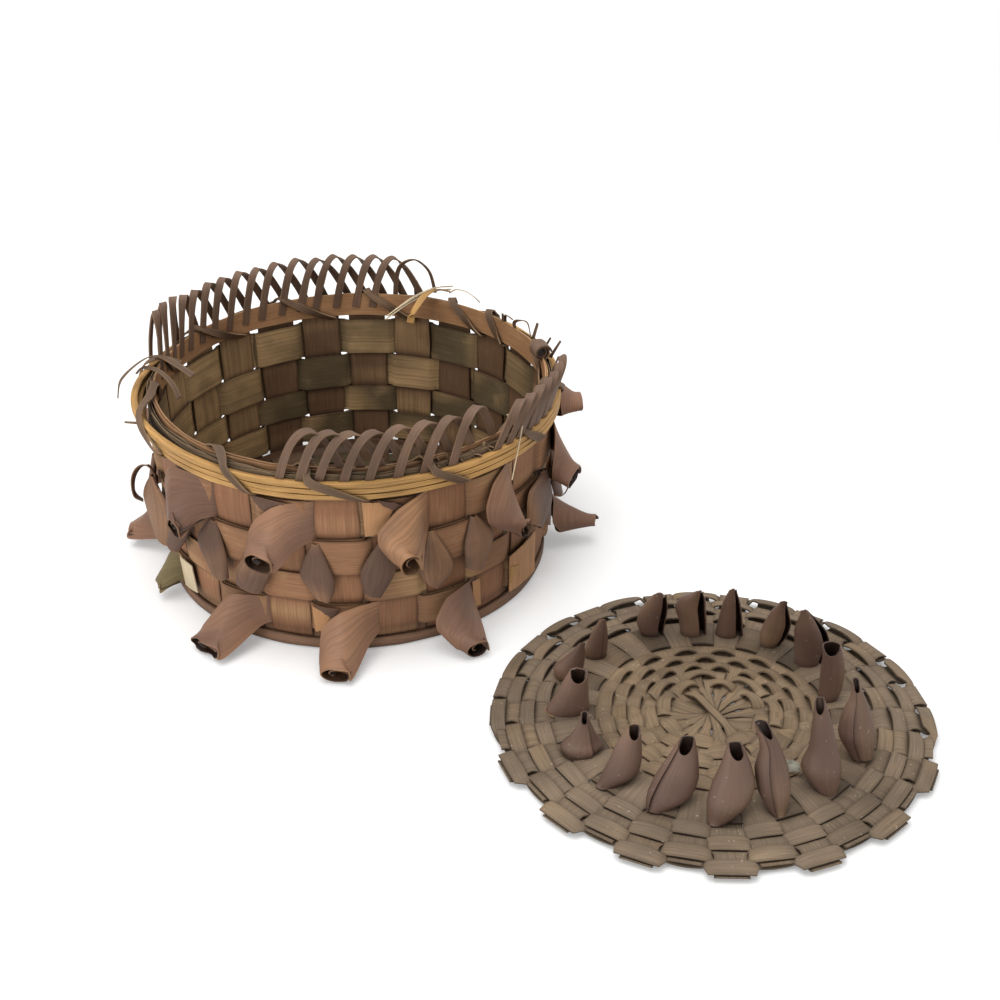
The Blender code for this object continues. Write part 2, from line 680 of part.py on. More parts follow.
def build_lid(collection, guides):
    lid_axis = bpy.data.objects.new("lid_lift_axis", None)
    lid_axis.location = (LID_X, LID_Y, 0.0)
    lid_axis.rotation_euler = (0.0, 0.0, math.radians(LID_TURN))
    collection.objects.link(lid_axis)
    grey = new_material("lid_splint", LID_GREY)
    red = new_material("lid_curl_splint", LID_CURL_RED)
    spoke_step = 360.0 / LID_SPOKES
    pile = LAYER * (LID_ARMS // 2 - 1)
    for index in range(LID_ARMS // 2):
        angle = spoke_step / 2 + 2 * spoke_step * index
        level = lid_height(0.0) - pile / 2 + LAYER * index
        arms = [lid_arm(angle, level), lid_arm(angle + 180.0, level)]
        split_splint(f"lid_splint_{index + 1}", arms, LID_SLIT_LINE, collection, grey, lid_axis)
    for index in range(LID_INNER_ROUNDS):
        start = LID_FIRST_ROUND + index * LID_ROUND_STEP
        count = LID_ARMS if index < LID_ARM_ROUNDS else LID_SPOKES
        lines = lid_round_lines(start, start + LID_ROUND_WIDTH, count, index % 2)
        new_object(f"lid_weaver_{index + 1}", [lines], collection, grey, closed=True, parent=lid_axis)
    edge_start = LID_RADIUS - LID_EDGE_ROUNDS * LID_ROUND_STEP
    for index in range(LID_EDGE_ROUNDS):
        start = edge_start + index * LID_ROUND_STEP
        lines = lid_round_lines(start, start + LID_ROUND_WIDTH, LID_SPOKES, index % 2)
        new_object(f"lid_edge_weaver_{index + 1}", [lines], collection, grey, closed=True, parent=lid_axis)
    band_start = LID_FIRST_ROUND + LID_INNER_ROUNDS * LID_ROUND_STEP + LID_ROUND_GAP
    band_end = edge_start - 2 * LID_ROUND_GAP
    lines = lid_round_lines(band_start, band_end, LID_SPOKES, 0)
    band = new_object("lid_curl_band", [lines], collection, red, closed=True, parent=lid_axis)
    middle = (band_start + band_end) / 2
    curls = [lid_curl(2 * spoke_step * index, middle) for index in range(LID_ARMS)]
    guide = new_object("lid_curl_band_rolls", curls, guides, red, parent=lid_axis)
    join_guide(band, guide)


def main():
    clear_scene()
    parts = new_collection("curled_splint_basket")
    guides = new_collection("guides")
    build_basket_splints(parts)
    build_base_rounds(parts)
    build_wall_weavers(parts)
    build_curl_bands(parts, guides)
    build_leaf_band(parts, guides)
    build_rim(parts)
    build_lashing(parts)
    build_loop_runs(parts, guides)
    build_lid(parts, guides)


main()
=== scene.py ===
"""Looks of a plaited splint basket with curled points, a looped rim edging and a loose woven lid.

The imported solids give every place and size. Each group of splints is modelled again with its real weave,
grain, curl and wear, and rides on the basket or on the lid.
"""

import math

import bpy
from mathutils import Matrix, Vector, noise


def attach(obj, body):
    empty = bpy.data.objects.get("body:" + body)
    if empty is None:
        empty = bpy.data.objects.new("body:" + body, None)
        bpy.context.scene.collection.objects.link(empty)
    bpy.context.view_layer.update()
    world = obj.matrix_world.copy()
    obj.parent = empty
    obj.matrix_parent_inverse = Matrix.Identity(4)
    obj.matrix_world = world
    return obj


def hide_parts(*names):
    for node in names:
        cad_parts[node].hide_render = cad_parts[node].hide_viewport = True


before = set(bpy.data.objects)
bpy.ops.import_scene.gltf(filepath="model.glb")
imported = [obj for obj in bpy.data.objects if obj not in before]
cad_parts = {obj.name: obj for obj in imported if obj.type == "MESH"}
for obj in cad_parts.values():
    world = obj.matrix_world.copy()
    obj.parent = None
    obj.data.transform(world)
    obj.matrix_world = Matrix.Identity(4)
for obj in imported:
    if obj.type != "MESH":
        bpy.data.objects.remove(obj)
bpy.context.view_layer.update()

bl_info = {
    "name": "Splint basket with curled points",
    "version": (1, 0, 0),
    "blender": (4, 5, 0),
    "location": "View3D > Sidebar > Basket",
    "description": "Models the woven splints, curls, rim and lid of a plaited basket",
    "category": "Object",
}

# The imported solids, in metres: the wall's middle layer, the bend below it, the rim, the base and the lid.
WALL_FOOT = 0.1060
WALL_TOP = 0.1082
BEND_LOW = 0.0115
BEND_RADIUS = 0.0085
RIM_LOW = 0.0954
UPRIGHT_TOP = 0.0994
BASE_LEVEL = 0.0030
LID_MIDDLE = Vector((0.1850, -0.1687, 0.0))
LID_TURN = -1.8
LID_RADIUS = 0.1085
LID_THICKNESS = 0.0008
# One layer of the weave, and how far the round wall stands off the solids' flat facets.
LAYER = 0.0010
FACET_ROOM = 0.0003
# Lower and upper edge of each wide row.
ROWS = ((0.0119, 0.0299), (0.0307, 0.0474), (0.0482, 0.0694), (0.0702, 0.0924))
# Degrees between two uprights, the same in radians, and degrees between two spokes of the lid.
UPRIGHT_STEP = 15.0
UPRIGHT_SECTOR = 0.2618
LID_STEP = 11.25


def tone(red, green, blue):
    """Turn a colour as seen on a screen, 0 to 255, into the colour that a shader takes."""
    linear = []
    for value in (red, green, blue):
        share = value / 255
        linear.append(share / 12.92 if share <= 0.04045 else ((share + 0.055) / 1.055) ** 2.4)
    return linear


def length_property(label, about, default, least, most, precision):
    """One length of the basket's splints, in metres."""
    return bpy.props.FloatProperty(name=label, description=about, default=default, min=least, max=most,
                                   unit="LENGTH", precision=precision)


class BasketSizes(bpy.types.PropertyGroup):
    """Sizes of the splints"""

    splint: length_property("Splint thickness", "Thickness of the wide splints", 0.0007, 0.0003, 0.002, 5)
    upright: length_property("Upright width", "Width of a standing splint", 0.0222, 0.01, 0.026, 4)
    wobble: length_property("Cut wobble", "How far a hand-cut edge wanders", 0.0005, 0.0, 0.002, 5)
    puff: length_property("Weave bulge", "How far a splint bulges where it lies outside",
                          0.0006, 0.0, 0.002, 5)
    loop_width: length_property("Loop splint width", "Width of the looped edging splint",
                                0.0044, 0.002, 0.008, 4)
    lashing_width: length_property("Lashing width", "Width of the rim lashing", 0.0044, 0.002, 0.008, 4)


def colour_property(label, about, rgb):
    """One finish colour of the basket."""
    return bpy.props.FloatVectorProperty(name=label, description=about, subtype="COLOR", size=3,
                                         min=0.0, max=1.0, default=tone(*rgb))


class BasketColours(bpy.types.PropertyGroup):
    """Colours of the splints"""

    upright: colour_property("Uprights", "Outside of the standing splints", (161, 114, 82))
    upright_inside: colour_property("Uprights inside", "Inside of the standing splints", (120, 91, 66))
    weaver: colour_property("Weavers", "Outside of the wall weavers", (166, 121, 87))
    weaver_inside: colour_property("Weavers inside", "Inside of the wall weavers", (110, 94, 68))
    curl: colour_property("Curls", "Curled points", (138, 102, 82))
    olive: colour_property("Olive curl", "The greenish point at the lower left", (122, 108, 74))
    leaf: colour_property("Leaves", "Rolled leaves", (107, 80, 65))
    hoop: colour_property("Inner hoop", "Inner rim hoop", (184, 137, 97))
    filler: colour_property("Filler", "Strips between the hoops", (116, 99, 80))
    strip: colour_property("Outer strips", "Golden outer rim strips", (202, 155, 92))
    lashing: colour_property("Lashing", "Rim lashing", (108, 84, 64))
    loop: colour_property("Loops", "Looped edging", (118, 92, 74))
    lid: colour_property("Lid", "Lid splints", (135, 117, 97))
    lid_curl: colour_property("Lid curls", "Curled points of the lid", (118, 92, 79))
    # painted shade: the dark colour that the inside of every roll gets
    hollow: colour_property("Hollows", "Colour inside the rolled points", (56, 40, 34))
    foot: colour_property("Foot hoop", "Colour of the hoop at the foot", (140, 106, 82))
    tan: colour_property("Tan patches", "Colour of the fresh wood where a strip has torn", (204, 152, 106))
    straw: colour_property("Worn straw", "Pale worn wood", (208, 170, 122))


# Places and curves

def polar(angle, radius, height):
    """A place on the basket at an angle in degrees."""
    turn = math.radians(angle)
    return Vector((radius * math.cos(turn), radius * math.sin(turn), height))


def directions(angle):
    """The level directions outward and to the left at an angle in degrees."""
    turn = math.radians(angle)
    return Vector((math.cos(turn), math.sin(turn), 0)), Vector((-math.sin(turn), math.cos(turn), 0))


def lid_polar(angle, radius, height):
    """A place on the lid at an angle in degrees from the lid's own start."""
    return polar(angle + LID_TURN, radius, height) + LID_MIDDLE


def wall_radius(height):
    """Radius of the wall's middle layer at a height."""
    share = (height - BEND_LOW) / (RIM_LOW - BEND_LOW)
    return WALL_FOOT + FACET_ROOM + (WALL_TOP - WALL_FOOT) * share


def ripple(first, second, third):
    """Smooth noise between minus and plus one."""
    return noise.noise(Vector((first, second, third)))


def wander(first, second, seed, amount):
    """A smooth random amount between minus and plus the given one."""
    return amount * ripple(first, second, seed * 7.31)


def wander_round(angle, waves, seed, amount):
    """The same along a closed ring, where it ends as it starts; more waves wander faster."""
    turn = math.radians(angle)
    return wander(waves * math.cos(turn), waves * math.sin(turn), seed, amount)


def ease(share):
    """Smooth step from 0 to 1."""
    share = min(max(share, 0.0), 1.0)
    return share * share * (3 - 2 * share)


def peak(offset, reach):
    """1 at an offset of nought, falling straight to 0 at the reach."""
    return max(0.0, 1 - abs(offset) / reach)


def through(points, share):
    """A place on the smooth curve through the points."""
    last = len(points) - 1
    place = min(max(share, 0.0), 1.0) * last
    index = min(int(place), last - 1)
    step = place - index
    before = points[max(index - 1, 0)]
    start = points[index]
    end = points[index + 1]
    after = points[min(index + 2, last)]
    result = []
    for a, b, c, d in zip(before, start, end, after):
        result.append(0.5 * (2 * b + (c - a) * step + (2 * a - 5 * b + 4 * c - d) * step ** 2
                             + (3 * b - a - 3 * c + d) * step ** 3))
    return result


def bent(points, share, crisp):
    """A place on the line through the points: 0 follows the smooth curve, 1 the straight pieces."""
    last = len(points) - 1
    place = min(max(share, 0.0), 1.0) * last
    index = min(int(place), last - 1)
    straight = Vector(points[index]).lerp(Vector(points[index + 1]), place - index)
    return Vector(through(points, share)).lerp(straight, crisp)


def shaped(value, power):
    """A value between minus and plus one, raised to a power with its sign kept."""
    return math.copysign(abs(value) ** power, value)


# Sheets

def lay_sheet(steps, rows, place, size, seed, marks=None, turned=False):
    """Add a flat grid and lay it where place says.

    The size scales the grain and the seed moves it. It runs along the grid, or across it when it is turned.
    The marks attribute holds how pale a point is, how dark it is, which is mostly painted shade, whether it
    faces inward, which make_piece fills in, and whether it lies on a long edge.
    """
    bpy.ops.object.select_all(action="DESELECT")
    bpy.ops.mesh.primitive_grid_add(x_subdivisions=steps, y_subdivisions=rows, size=1, calc_uvs=True)
    sheet = bpy.context.object
    mesh = sheet.data
    spots = []
    tones = []
    for vertex in mesh.vertices:
        along = vertex.co.x + 0.5
        across = vertex.co.y + 0.5
        spots.extend(place(along, across))
        pale, dark = marks(along, across) if marks else (0.0, 0.0)
        edge = 1.0 if across < 0.01 or across > 0.99 else 0.0
        tones.extend((pale, dark, 0.0, edge))
    mesh.vertices.foreach_set("co", spots)
    layer = mesh.attributes.new("marks", "FLOAT_COLOR", "POINT")
    layer.data.foreach_set("color", tones)
    loops = mesh.uv_layers.active.data
    flat = [0.0] * (2 * len(loops))
    loops.foreach_get("uv", flat)
    for index in range(0, len(flat), 2):
        one = flat[index] * size[0] + seed * 0.613
        two = flat[index + 1] * size[1] + seed * 0.127
        flat[index], flat[index + 1] = (two, one) if turned else (one, two)
    loops.foreach_set("uv", flat)
    mesh.update()
    return sheet


def lay_ribbon(points, faces, width, steps, rows, seed, taper=0.0):
    """Lay a ribbon along a smooth curve, with its flat turned to the given directions."""
    length = sum((Vector(b) - Vector(a)).length for a, b in zip(points, points[1:]))

    def place(along, across):
        spot = Vector(through(points, along))
        ahead = Vector(through(points, min(along + 0.01, 1.0)))
        ahead -= Vector(through(points, max(along - 0.01, 0.0)))
        face = Vector(through(faces, along))
        side = ahead.cross(face)
        if side.length < 1e-9:
            side = Vector((1, 0, 0))
        side.normalize()
        half = 0.5 * width * (1 - taper * along) * (1 + wander(along * length * 90, 0, seed, 0.16))
        return spot + side * (2 * across - 1) * half

    return lay_sheet(steps, rows, place, (length, width), seed)


def make_piece(name, sheets, thickness, body, nodes, material, weld=False, inward=True, hollow=False):
    """Join sheets into one piece, give it its thickness and finish, and set it on its body.

    A hollow piece is of rolled sheets, with a dark colour painted inside the roll as its shade. An inward one
    has its inside colour where it faces the basket's axis, or down on the lid.
    """
    bpy.ops.object.select_all(action="DESELECT")
    for sheet in sheets:
        sheet.select_set(True)
    bpy.context.view_layer.objects.active = sheets[0]
    if len(sheets) > 1:
        bpy.ops.object.join()
    piece = bpy.context.view_layer.objects.active
    piece.name = name
    piece.data.name = name
    if weld:
        bpy.ops.object.mode_set(mode="EDIT")
        bpy.ops.mesh.select_all(action="SELECT")
        bpy.ops.mesh.remove_doubles(threshold=0.00002)
        bpy.ops.object.mode_set(mode="OBJECT")
    if thickness:
        wall = piece.modifiers.new("thickness", "SOLIDIFY")
        wall.thickness = thickness
        wall.offset = 0
        bpy.ops.object.modifier_apply(modifier=wall.name)
    if hollow:
        shade_hollow(piece)
    elif inward:
        shade_inside(piece, body == "lid")
    piece.select_set(True)
    bpy.ops.object.shade_smooth_by_angle(angle=math.radians(42))
    piece.data.materials.clear()
    piece.data.materials.append(material)
    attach(piece, body)
    if nodes:
        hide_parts(*nodes)
    return piece


def shade_hollow(piece):
    """Mark the inner face of rolled sheets: it is the first half of the points."""
    half = len(piece.data.vertices) // 2
    mark_inner(piece.data, [index < half for index in range(len(piece.data.vertices))])


def shade_inside(piece, on_lid):
    """Mark the points whose surface faces the basket's axis, or down on the lid."""
    mesh = piece.data
    inner = []
    for index, vertex in enumerate(mesh.vertices):
        normal = mesh.vertex_normals[index].vector
        if on_lid:
            inner.append(normal.z < -0.2)
        else:
            outward = Vector((vertex.co.x, vertex.co.y, 0)).normalized()
            inner.append(normal.dot(outward) < -0.2 or (vertex.co.z < 0.012 and normal.z > 0.3))
    mark_inner(mesh, inner)


def mark_inner(mesh, inner):
    """Write which points are inner ones into the third channel of the marks."""
    layer = mesh.attributes["marks"]
    tones = [0.0] * (4 * len(inner))
    layer.data.foreach_get("color", tones)
    tones[2::4] = [1.0 if flag else 0.0 for flag in inner]
    layer.data.foreach_set("color", tones)


# Finishes

def fresh_tree(block):
    """The emptied node tree of a material or of the world."""
    block.use_nodes = True
    block.node_tree.nodes.clear()
    return block.node_tree


def add_node(tree, kind, sockets=None, **settings):
    """Add a shader node with its settings; each socket takes a value or another node's output."""
    node = tree.nodes.new("ShaderNode" + kind)
    for key, value in settings.items():
        setattr(node, key, value)
    for socket, value in (sockets or {}).items():
        if isinstance(value, bpy.types.NodeSocket):
            tree.links.new(value, node.inputs[socket])
        else:
            node.inputs[socket].default_value = value
    return node


def splint_material(name, colour, inside, straw, patches=0.0, roughness=0.66, grain=1.0, blotch=45.0,
                    worn_edge=0.22, dark_edge=0.0, specks=0.0, hollows=0.85):
    """Old split wood: long grain, blotches, paler worn edges and patches, and painted shade in crevices and
    gaps, along dark-marked edges and where the marks are dark.
    """
    material = bpy.data.materials.new(name)
    tree = fresh_tree(material)

    def mix(blend, factor, first, second):
        first, second = [value if isinstance(value, bpy.types.NodeSocket) else (*value, 1)
                         for value in (first, second)]
        return add_node(tree, "Mix", {0: factor, 6: first, 7: second}, data_type="RGBA",
                        blend_type=blend).outputs[2]

    def spread(value, low, high, least=0.0, most=1.0):
        return add_node(tree, "MapRange", {"Value": value, "From Min": low, "From Max": high,
                                           "To Min": least, "To Max": most}).outputs["Result"]

    def times(first, second):
        return add_node(tree, "Math", {0: first, 1: second}, operation="MULTIPLY", use_clamp=True).outputs[0]

    def speckle(vector, scale, detail):
        return add_node(tree, "TexNoise", {"Vector": vector, "Scale": scale, "Detail": detail}).outputs["Fac"]

    def fibres(vector, stretch, detail):
        mapping = add_node(tree, "Mapping", {"Vector": vector, "Scale": stretch})
        return speckle(mapping.outputs["Vector"], 1.0, detail)

    def grey(value):
        return add_node(tree, "CombineColor", {0: value, 1: value, 2: value}).outputs["Color"]

    along = add_node(tree, "UVMap", uv_map="UVMap").outputs["UV"]
    place = add_node(tree, "TexCoord").outputs["Object"]
    marks = add_node(tree, "Attribute", attribute_name="marks")
    pale, dark, inner = add_node(tree, "SeparateColor", {"Color": marks.outputs["Color"]}).outputs
    edge = marks.outputs["Alpha"]

    fine = fibres(along, (60.0, 3400.0, 1.0), 4.0)
    bands = fibres(along, (14.0, 760.0, 1.0), 3.0)
    clouds = speckle(place, blotch, 4.0)
    broad = speckle(place, blotch * 0.28, 2.0)

    light = [min(value * 1.32 + 0.005, 1.0) for value in colour]
    deep = [value * 0.60 for value in colour]
    shade = mix("MIX", spread(clouds, 0.3, 0.7), colour, light)
    shade = mix("MIX", times(spread(broad, 0.42, 0.66), 0.55), shade, deep)
    back = mix("MIX", times(spread(broad, 0.35, 0.7), 0.5), inside, [value * 0.68 for value in inside])
    back = mix("MIX", times(spread(clouds, 0.4, 0.75), 0.5), back,
               [min(value * 1.5, 1.0) for value in inside])
    shade = mix("MIX", inner, shade, back)
    shade = mix("MULTIPLY", times(spread(bands, 0.35, 0.65), 0.30 * grain), shade, (0.52, 0.50, 0.48))
    shade = mix("MULTIPLY", times(spread(fine, 0.4, 0.60), 0.60 * grain), shade, (0.55, 0.54, 0.53))
    worn = mix("MIX", spread(bands, 0.35, 0.65), straw, [value * 0.62 for value in straw])
    bare = spread(clouds, 0.62 - 0.12 * patches, 0.70)
    shade = mix("MIX", times(bare, patches), shade, worn)
    shade = mix("MIX", times(spread(clouds, 0.3, 0.5, 0.55, 1.0), pale), shade, worn)
    rim = times(times(edge, edge), times(edge, edge))
    shade = mix("MIX", times(rim, worn_edge), shade, worn)
    # Painted shade: the long edges darken as the shadow in the gaps between splints.
    shade = mix("MULTIPLY", times(rim, dark_edge), shade, (0.25, 0.22, 0.20))
    if specks:
        shade = mix("MIX", times(spread(speckle(place, 520.0, 1.0), 0.735, 0.77), specks), shade,
                    [0.5 * value + 0.25 for value in straw])
    # Painted shade, with some tone: the dark marks darken crossings, roll insides, edges and the basket's
    # bottom.
    shade = mix("MULTIPLY", dark, shade, (0.30, 0.27, 0.25))

    # Painted shade: ambient occlusion darkens crevices, gaps and hollow places as their shade would.
    hollow = add_node(tree, "AmbientOcclusion", {"Distance": 0.007}, samples=6)
    painted_hollow_shade = spread(hollow.outputs["AO"], 0.75, 0.15, 0.0, hollows)
    shade = mix("MULTIPLY", painted_hollow_shade, shade, (0.22, 0.20, 0.18))

    ridges = add_node(tree, "Bump", {"Strength": 0.45 * grain, "Distance": 0.0004,
                                     "Height": mix("MIX", 0.45, grey(fine), grey(bands))})
    surface = add_node(tree, "BsdfPrincipled", {
        "Base Color": shade,
        "Roughness": spread(clouds, 0.25, 0.75, roughness - 0.10, roughness + 0.12),
        "Specular IOR Level": 0.32,
        "Normal": ridges.outputs["Normal"],
    })
    add_node(tree, "OutputMaterial", {"Surface": surface.outputs["BSDF"]})
    return material


def finish(context, key, patches=0.0, inside=None, worn="straw", **more):
    """The material of one finish, made once."""
    name = "wood_" + key
    if name in bpy.data.materials:
        return bpy.data.materials[name]
    colours = context.scene.basket_colours
    outer = list(getattr(colours, key))
    inner = list(getattr(colours, inside)) if inside else [value * 0.72 for value in outer]
    return splint_material(name, outer, inner, list(getattr(colours, worn)), patches, **more)


def weaver_finish(context):
    """The finish of the wall's weavers and of the overlay strips on them."""
    return finish(context, "weaver", 0.35, "weaver_inside", worn_edge=0.0, dark_edge=0.6)


# The stage

WHITE = (1, 1, 1, 1)
# The height that keeps the floor clear of the base, and how far from the middle it fades into white.
FLOOR_LEVEL = -0.0004
FLOOR_FADE = (0.5, 1.3)
# The strength of the room's light on the basket; the camera and reflections see it at 1.
ROOM_LIGHT = 0.62
# Each soft lamp: name, place, what it looks at, size and power.
LAMPS = (("soft_top", (-0.15, -0.25, 1.6), (0.05, -0.05, 0), 1.5, 15),
         ("soft_front", (-1.1, -1.5, 1.1), (0.05, -0.08, 0.03), 1.1, 9))
# The photograph's camera: place, degrees up from looking straight down, focal length and sensor width in mm.
CAMERA_PLACE = (0.0813, -0.7818, 0.4936)
CAMERA_TILT = 59.20
CAMERA_LENS = 57.14
SENSOR_WIDTH = 36


class BASKET_OT_stage(bpy.types.Operator):
    """Add the floor, the soft lights and the camera"""

    bl_idname = "basket.stage"
    bl_label = "Floor, lights and camera"

    def execute(self, context):
        bpy.ops.object.select_all(action="DESELECT")
        bpy.ops.mesh.primitive_plane_add(size=8, location=(0, 0, FLOOR_LEVEL))
        floor = context.object
        floor.name = "floor"
        floor.data.materials.append(self.floor_material())
        for lamp in LAMPS:
            self.light(*lamp)
        context.scene.world = self.pale_room()
        camera_data = bpy.data.cameras.new("camera")
        camera_data.sensor_width = SENSOR_WIDTH
        camera_data.lens = CAMERA_LENS
        camera = bpy.data.objects.new("camera", camera_data)
        camera.location = CAMERA_PLACE
        camera.rotation_euler = (math.radians(CAMERA_TILT), 0, 0)
        context.collection.objects.link(camera)
        context.scene.camera = camera
        context.scene.view_settings.view_transform = "Standard"
        return {"FINISHED"}

    def light(self, name, spot, aim, size, power):
        """A large soft lamp that looks at a place."""
        data = bpy.data.lights.new(name, "AREA")
        data.shape = "DISK"
        data.size = size
        data.energy = power
        lamp = bpy.data.objects.new(name, data)
        lamp.location = spot
        lamp.rotation_euler = (Vector(aim) - Vector(spot)).to_track_quat("-Z", "Y").to_euler()
        bpy.context.collection.objects.link(lamp)

    def pale_room(self):
        """A world that lights the basket softly and looks white."""
        world = bpy.data.worlds.new("pale_room")
        tree = fresh_tree(world)
        path = add_node(tree, "LightPath")
        room = add_node(tree, "Background", {"Color": WHITE, "Strength": ROOM_LIGHT})
        seen = add_node(tree, "Background", {"Color": WHITE, "Strength": 1.0})
        either = add_node(tree, "Math", {0: path.outputs["Is Camera Ray"], 1: path.outputs["Is Glossy Ray"]},
                          operation="MAXIMUM")
        both = add_node(tree, "MixShader", {0: either.outputs[0], 1: room.outputs[0], 2: seen.outputs[0]})
        add_node(tree, "OutputWorld", {"Surface": both.outputs[0]})
        return world

    def floor_material(self):
        """White paper that keeps the soft shadow."""
        material = bpy.data.materials.new("white_floor")
        tree = fresh_tree(material)
        paper = add_node(tree, "BsdfDiffuse", {"Color": (0.86, 0.86, 0.855, 1)})
        seen = add_node(tree, "BsdfDiffuse", {"Color": (0.90, 0.90, 0.895, 1)})
        glow = add_node(tree, "Emission", {"Color": WHITE, "Strength": 0.22})
        bright = add_node(tree, "AddShader", {0: seen.outputs[0], 1: glow.outputs[0]})
        place = add_node(tree, "TexCoord")
        reach = add_node(tree, "VectorMath", {0: place.outputs["Object"]}, operation="LENGTH")
        far = add_node(tree, "MapRange", {"Value": reach.outputs["Value"], "From Min": FLOOR_FADE[0],
                                          "From Max": FLOOR_FADE[1]})
        white = add_node(tree, "Emission", {"Color": WHITE})
        faded = add_node(tree, "MixShader", {0: far.outputs["Result"], 1: bright.outputs[0],
                                             2: white.outputs[0]})
        path = add_node(tree, "LightPath")
        both = add_node(tree, "MixShader", {0: path.outputs["Is Camera Ray"], 1: paper.outputs[0],
                                            2: faded.outputs[0]})
        add_node(tree, "OutputMaterial", {"Surface": both.outputs[0]})
        return material


# The basket's weave

def outside_in(row, upright):
    """Whether an upright lies outside the weaver in a row."""
    return upright % 2 == (row + 1) % 2


def upright_lift(upright, height):
    """How far an upright bulges outward at a height."""
    lift = 0.0
    for row, (low, high) in enumerate(ROWS):
        share = (height - low) / (high - low)
        if -0.1 < share < 1.1:
            bump = math.sin(math.pi * (share + 0.1) / 1.2) ** 1.5
            lift += bump if outside_in(row, upright) else -0.35 * bump
    return lift


def weave_share(angle, row):
    """1 where a weaver lies outside its upright, 0 where it runs behind one, smooth between."""
    upright = round(angle / UPRIGHT_STEP) % 24
    off = abs((angle + UPRIGHT_STEP / 2) % UPRIGHT_STEP - UPRIGHT_STEP / 2)
    here = 0.0 if outside_in(row, upright) else 1.0
    return here + (1 - 2 * here) * 0.5 * ease((off - 4.6) / 5.8)


def painted_light_left(angle):
    """Painted light: how much paler the wall is painted round its left end, where light falls on its inside.
    """
    return 0.95 * peak(angle - 154, 34)


class BASKET_OT_uprights(bpy.types.Operator):
    """Model the through splints: the base's arms and the 24 uprights of the wall"""

    bl_idname = "basket.uprights"
    bl_label = "Uprights"

    def execute(self, context):
        sizes = context.scene.basket_sizes
        material = finish(context, "upright", 0.06, "upright_inside", worn_edge=0.0, dark_edge=0.65)
        for splint in range(6):
            sheets = []
            for upright in (2 * splint, 2 * splint + 1, 2 * splint + 12, 2 * splint + 13):
                sheets.append(self.upright(upright, splint, sizes))
            node = "basket_splint_%d" % (splint + 1)
            make_piece(node + "_wood", sheets, sizes.splint, "basket", [node], material)
        return {"FINISHED"}

    def upright(self, upright, splint, sizes):
        """Half of one arm, from the middle of the base over the bend and up the wall."""
        flat = WALL_FOOT - BEND_RADIUS
        bend = BEND_RADIUS * math.pi / 2
        rise = UPRIGHT_TOP - BEND_LOW
        whole = flat + bend + rise
        angle = UPRIGHT_STEP * upright
        side = 1 if upright % 2 else -1
        arm = angle - UPRIGHT_STEP / 2 * side
        hub = sizes.splint / 2 + LAYER * splint
        pale_low = 0.5 * ripple(upright * 3.7, 1.3, 0) + 0.1

        def on_base(radius, across):
            inner = max(0.004, radius * math.tan(math.radians(UPRIGHT_STEP)) - 0.0004)
            forward, left = directions(arm)
            early = forward * radius + left * side * inner * (across if side > 0 else 1 - across)
            forward, left = directions(angle)
            half = min(0.5 * (UPRIGHT_SECTOR * radius - 0.0014), sizes.upright / 2)
            late = forward * radius + left * (2 * across - 1) * half
            spot = early.lerp(late, ease((radius - 0.030) / 0.014))
            spot.z = hub + (BASE_LEVEL - hub) * ease((radius - 0.0164) / 0.010)
            return spot

        def place(along, across):
            path = along * whole
            if path < flat:
                return on_base(path, across)
            half = sizes.upright / 2 * (1 - 0.02 * math.cos(along * 40 + upright))
            off = (2 * across - 1) * (half + wander(path * 60, upright, across, sizes.wobble))
            if path < flat + bend:
                swing = (path - flat) / BEND_RADIUS
                radius = flat + BEND_RADIUS * math.sin(swing)
                level = BASE_LEVEL + BEND_RADIUS * (1 - math.cos(swing))
            else:
                level = BEND_LOW + path - flat - bend
                radius = wall_radius(level) + upright_lift(upright, level) * sizes.puff
                radius -= 0.0004 * (2 * across - 1) ** 2
            return polar(angle + math.degrees(off / radius), radius, level)

        def marks(along, across):
            height = along * whole - flat - bend + BEND_LOW
            dark = 0.0
            # painted shade where the rows' edges cross the upright
            for low, high in ROWS:
                for edge in (low, high):
                    dark += 0.35 * peak(height - edge, 0.0022)
            pale = max(0.0, wander(height * 70, upright * 2.1, 3.0, 0.9) + pale_low - 0.2)
            # painted light round the wall's left end
            pale += painted_light_left(angle)
            # painted shade towards the bottom of the wall and across the base
            dark += 0.55 * ease((0.022 - height) / 0.016)
            return min(pale, 0.75), min(dark, 0.6)

        return lay_sheet(120, 6, place, (whole, sizes.upright), upright + 1, marks)


# Where the rounds of the base start, from the middle, one tuple for each of the two weavers.
BASE_ROUNDS = ((0.0430, 0.0541), (0.0665, 0.0775, 0.0880))
BASE_ROUND_WIDTH = 0.0106


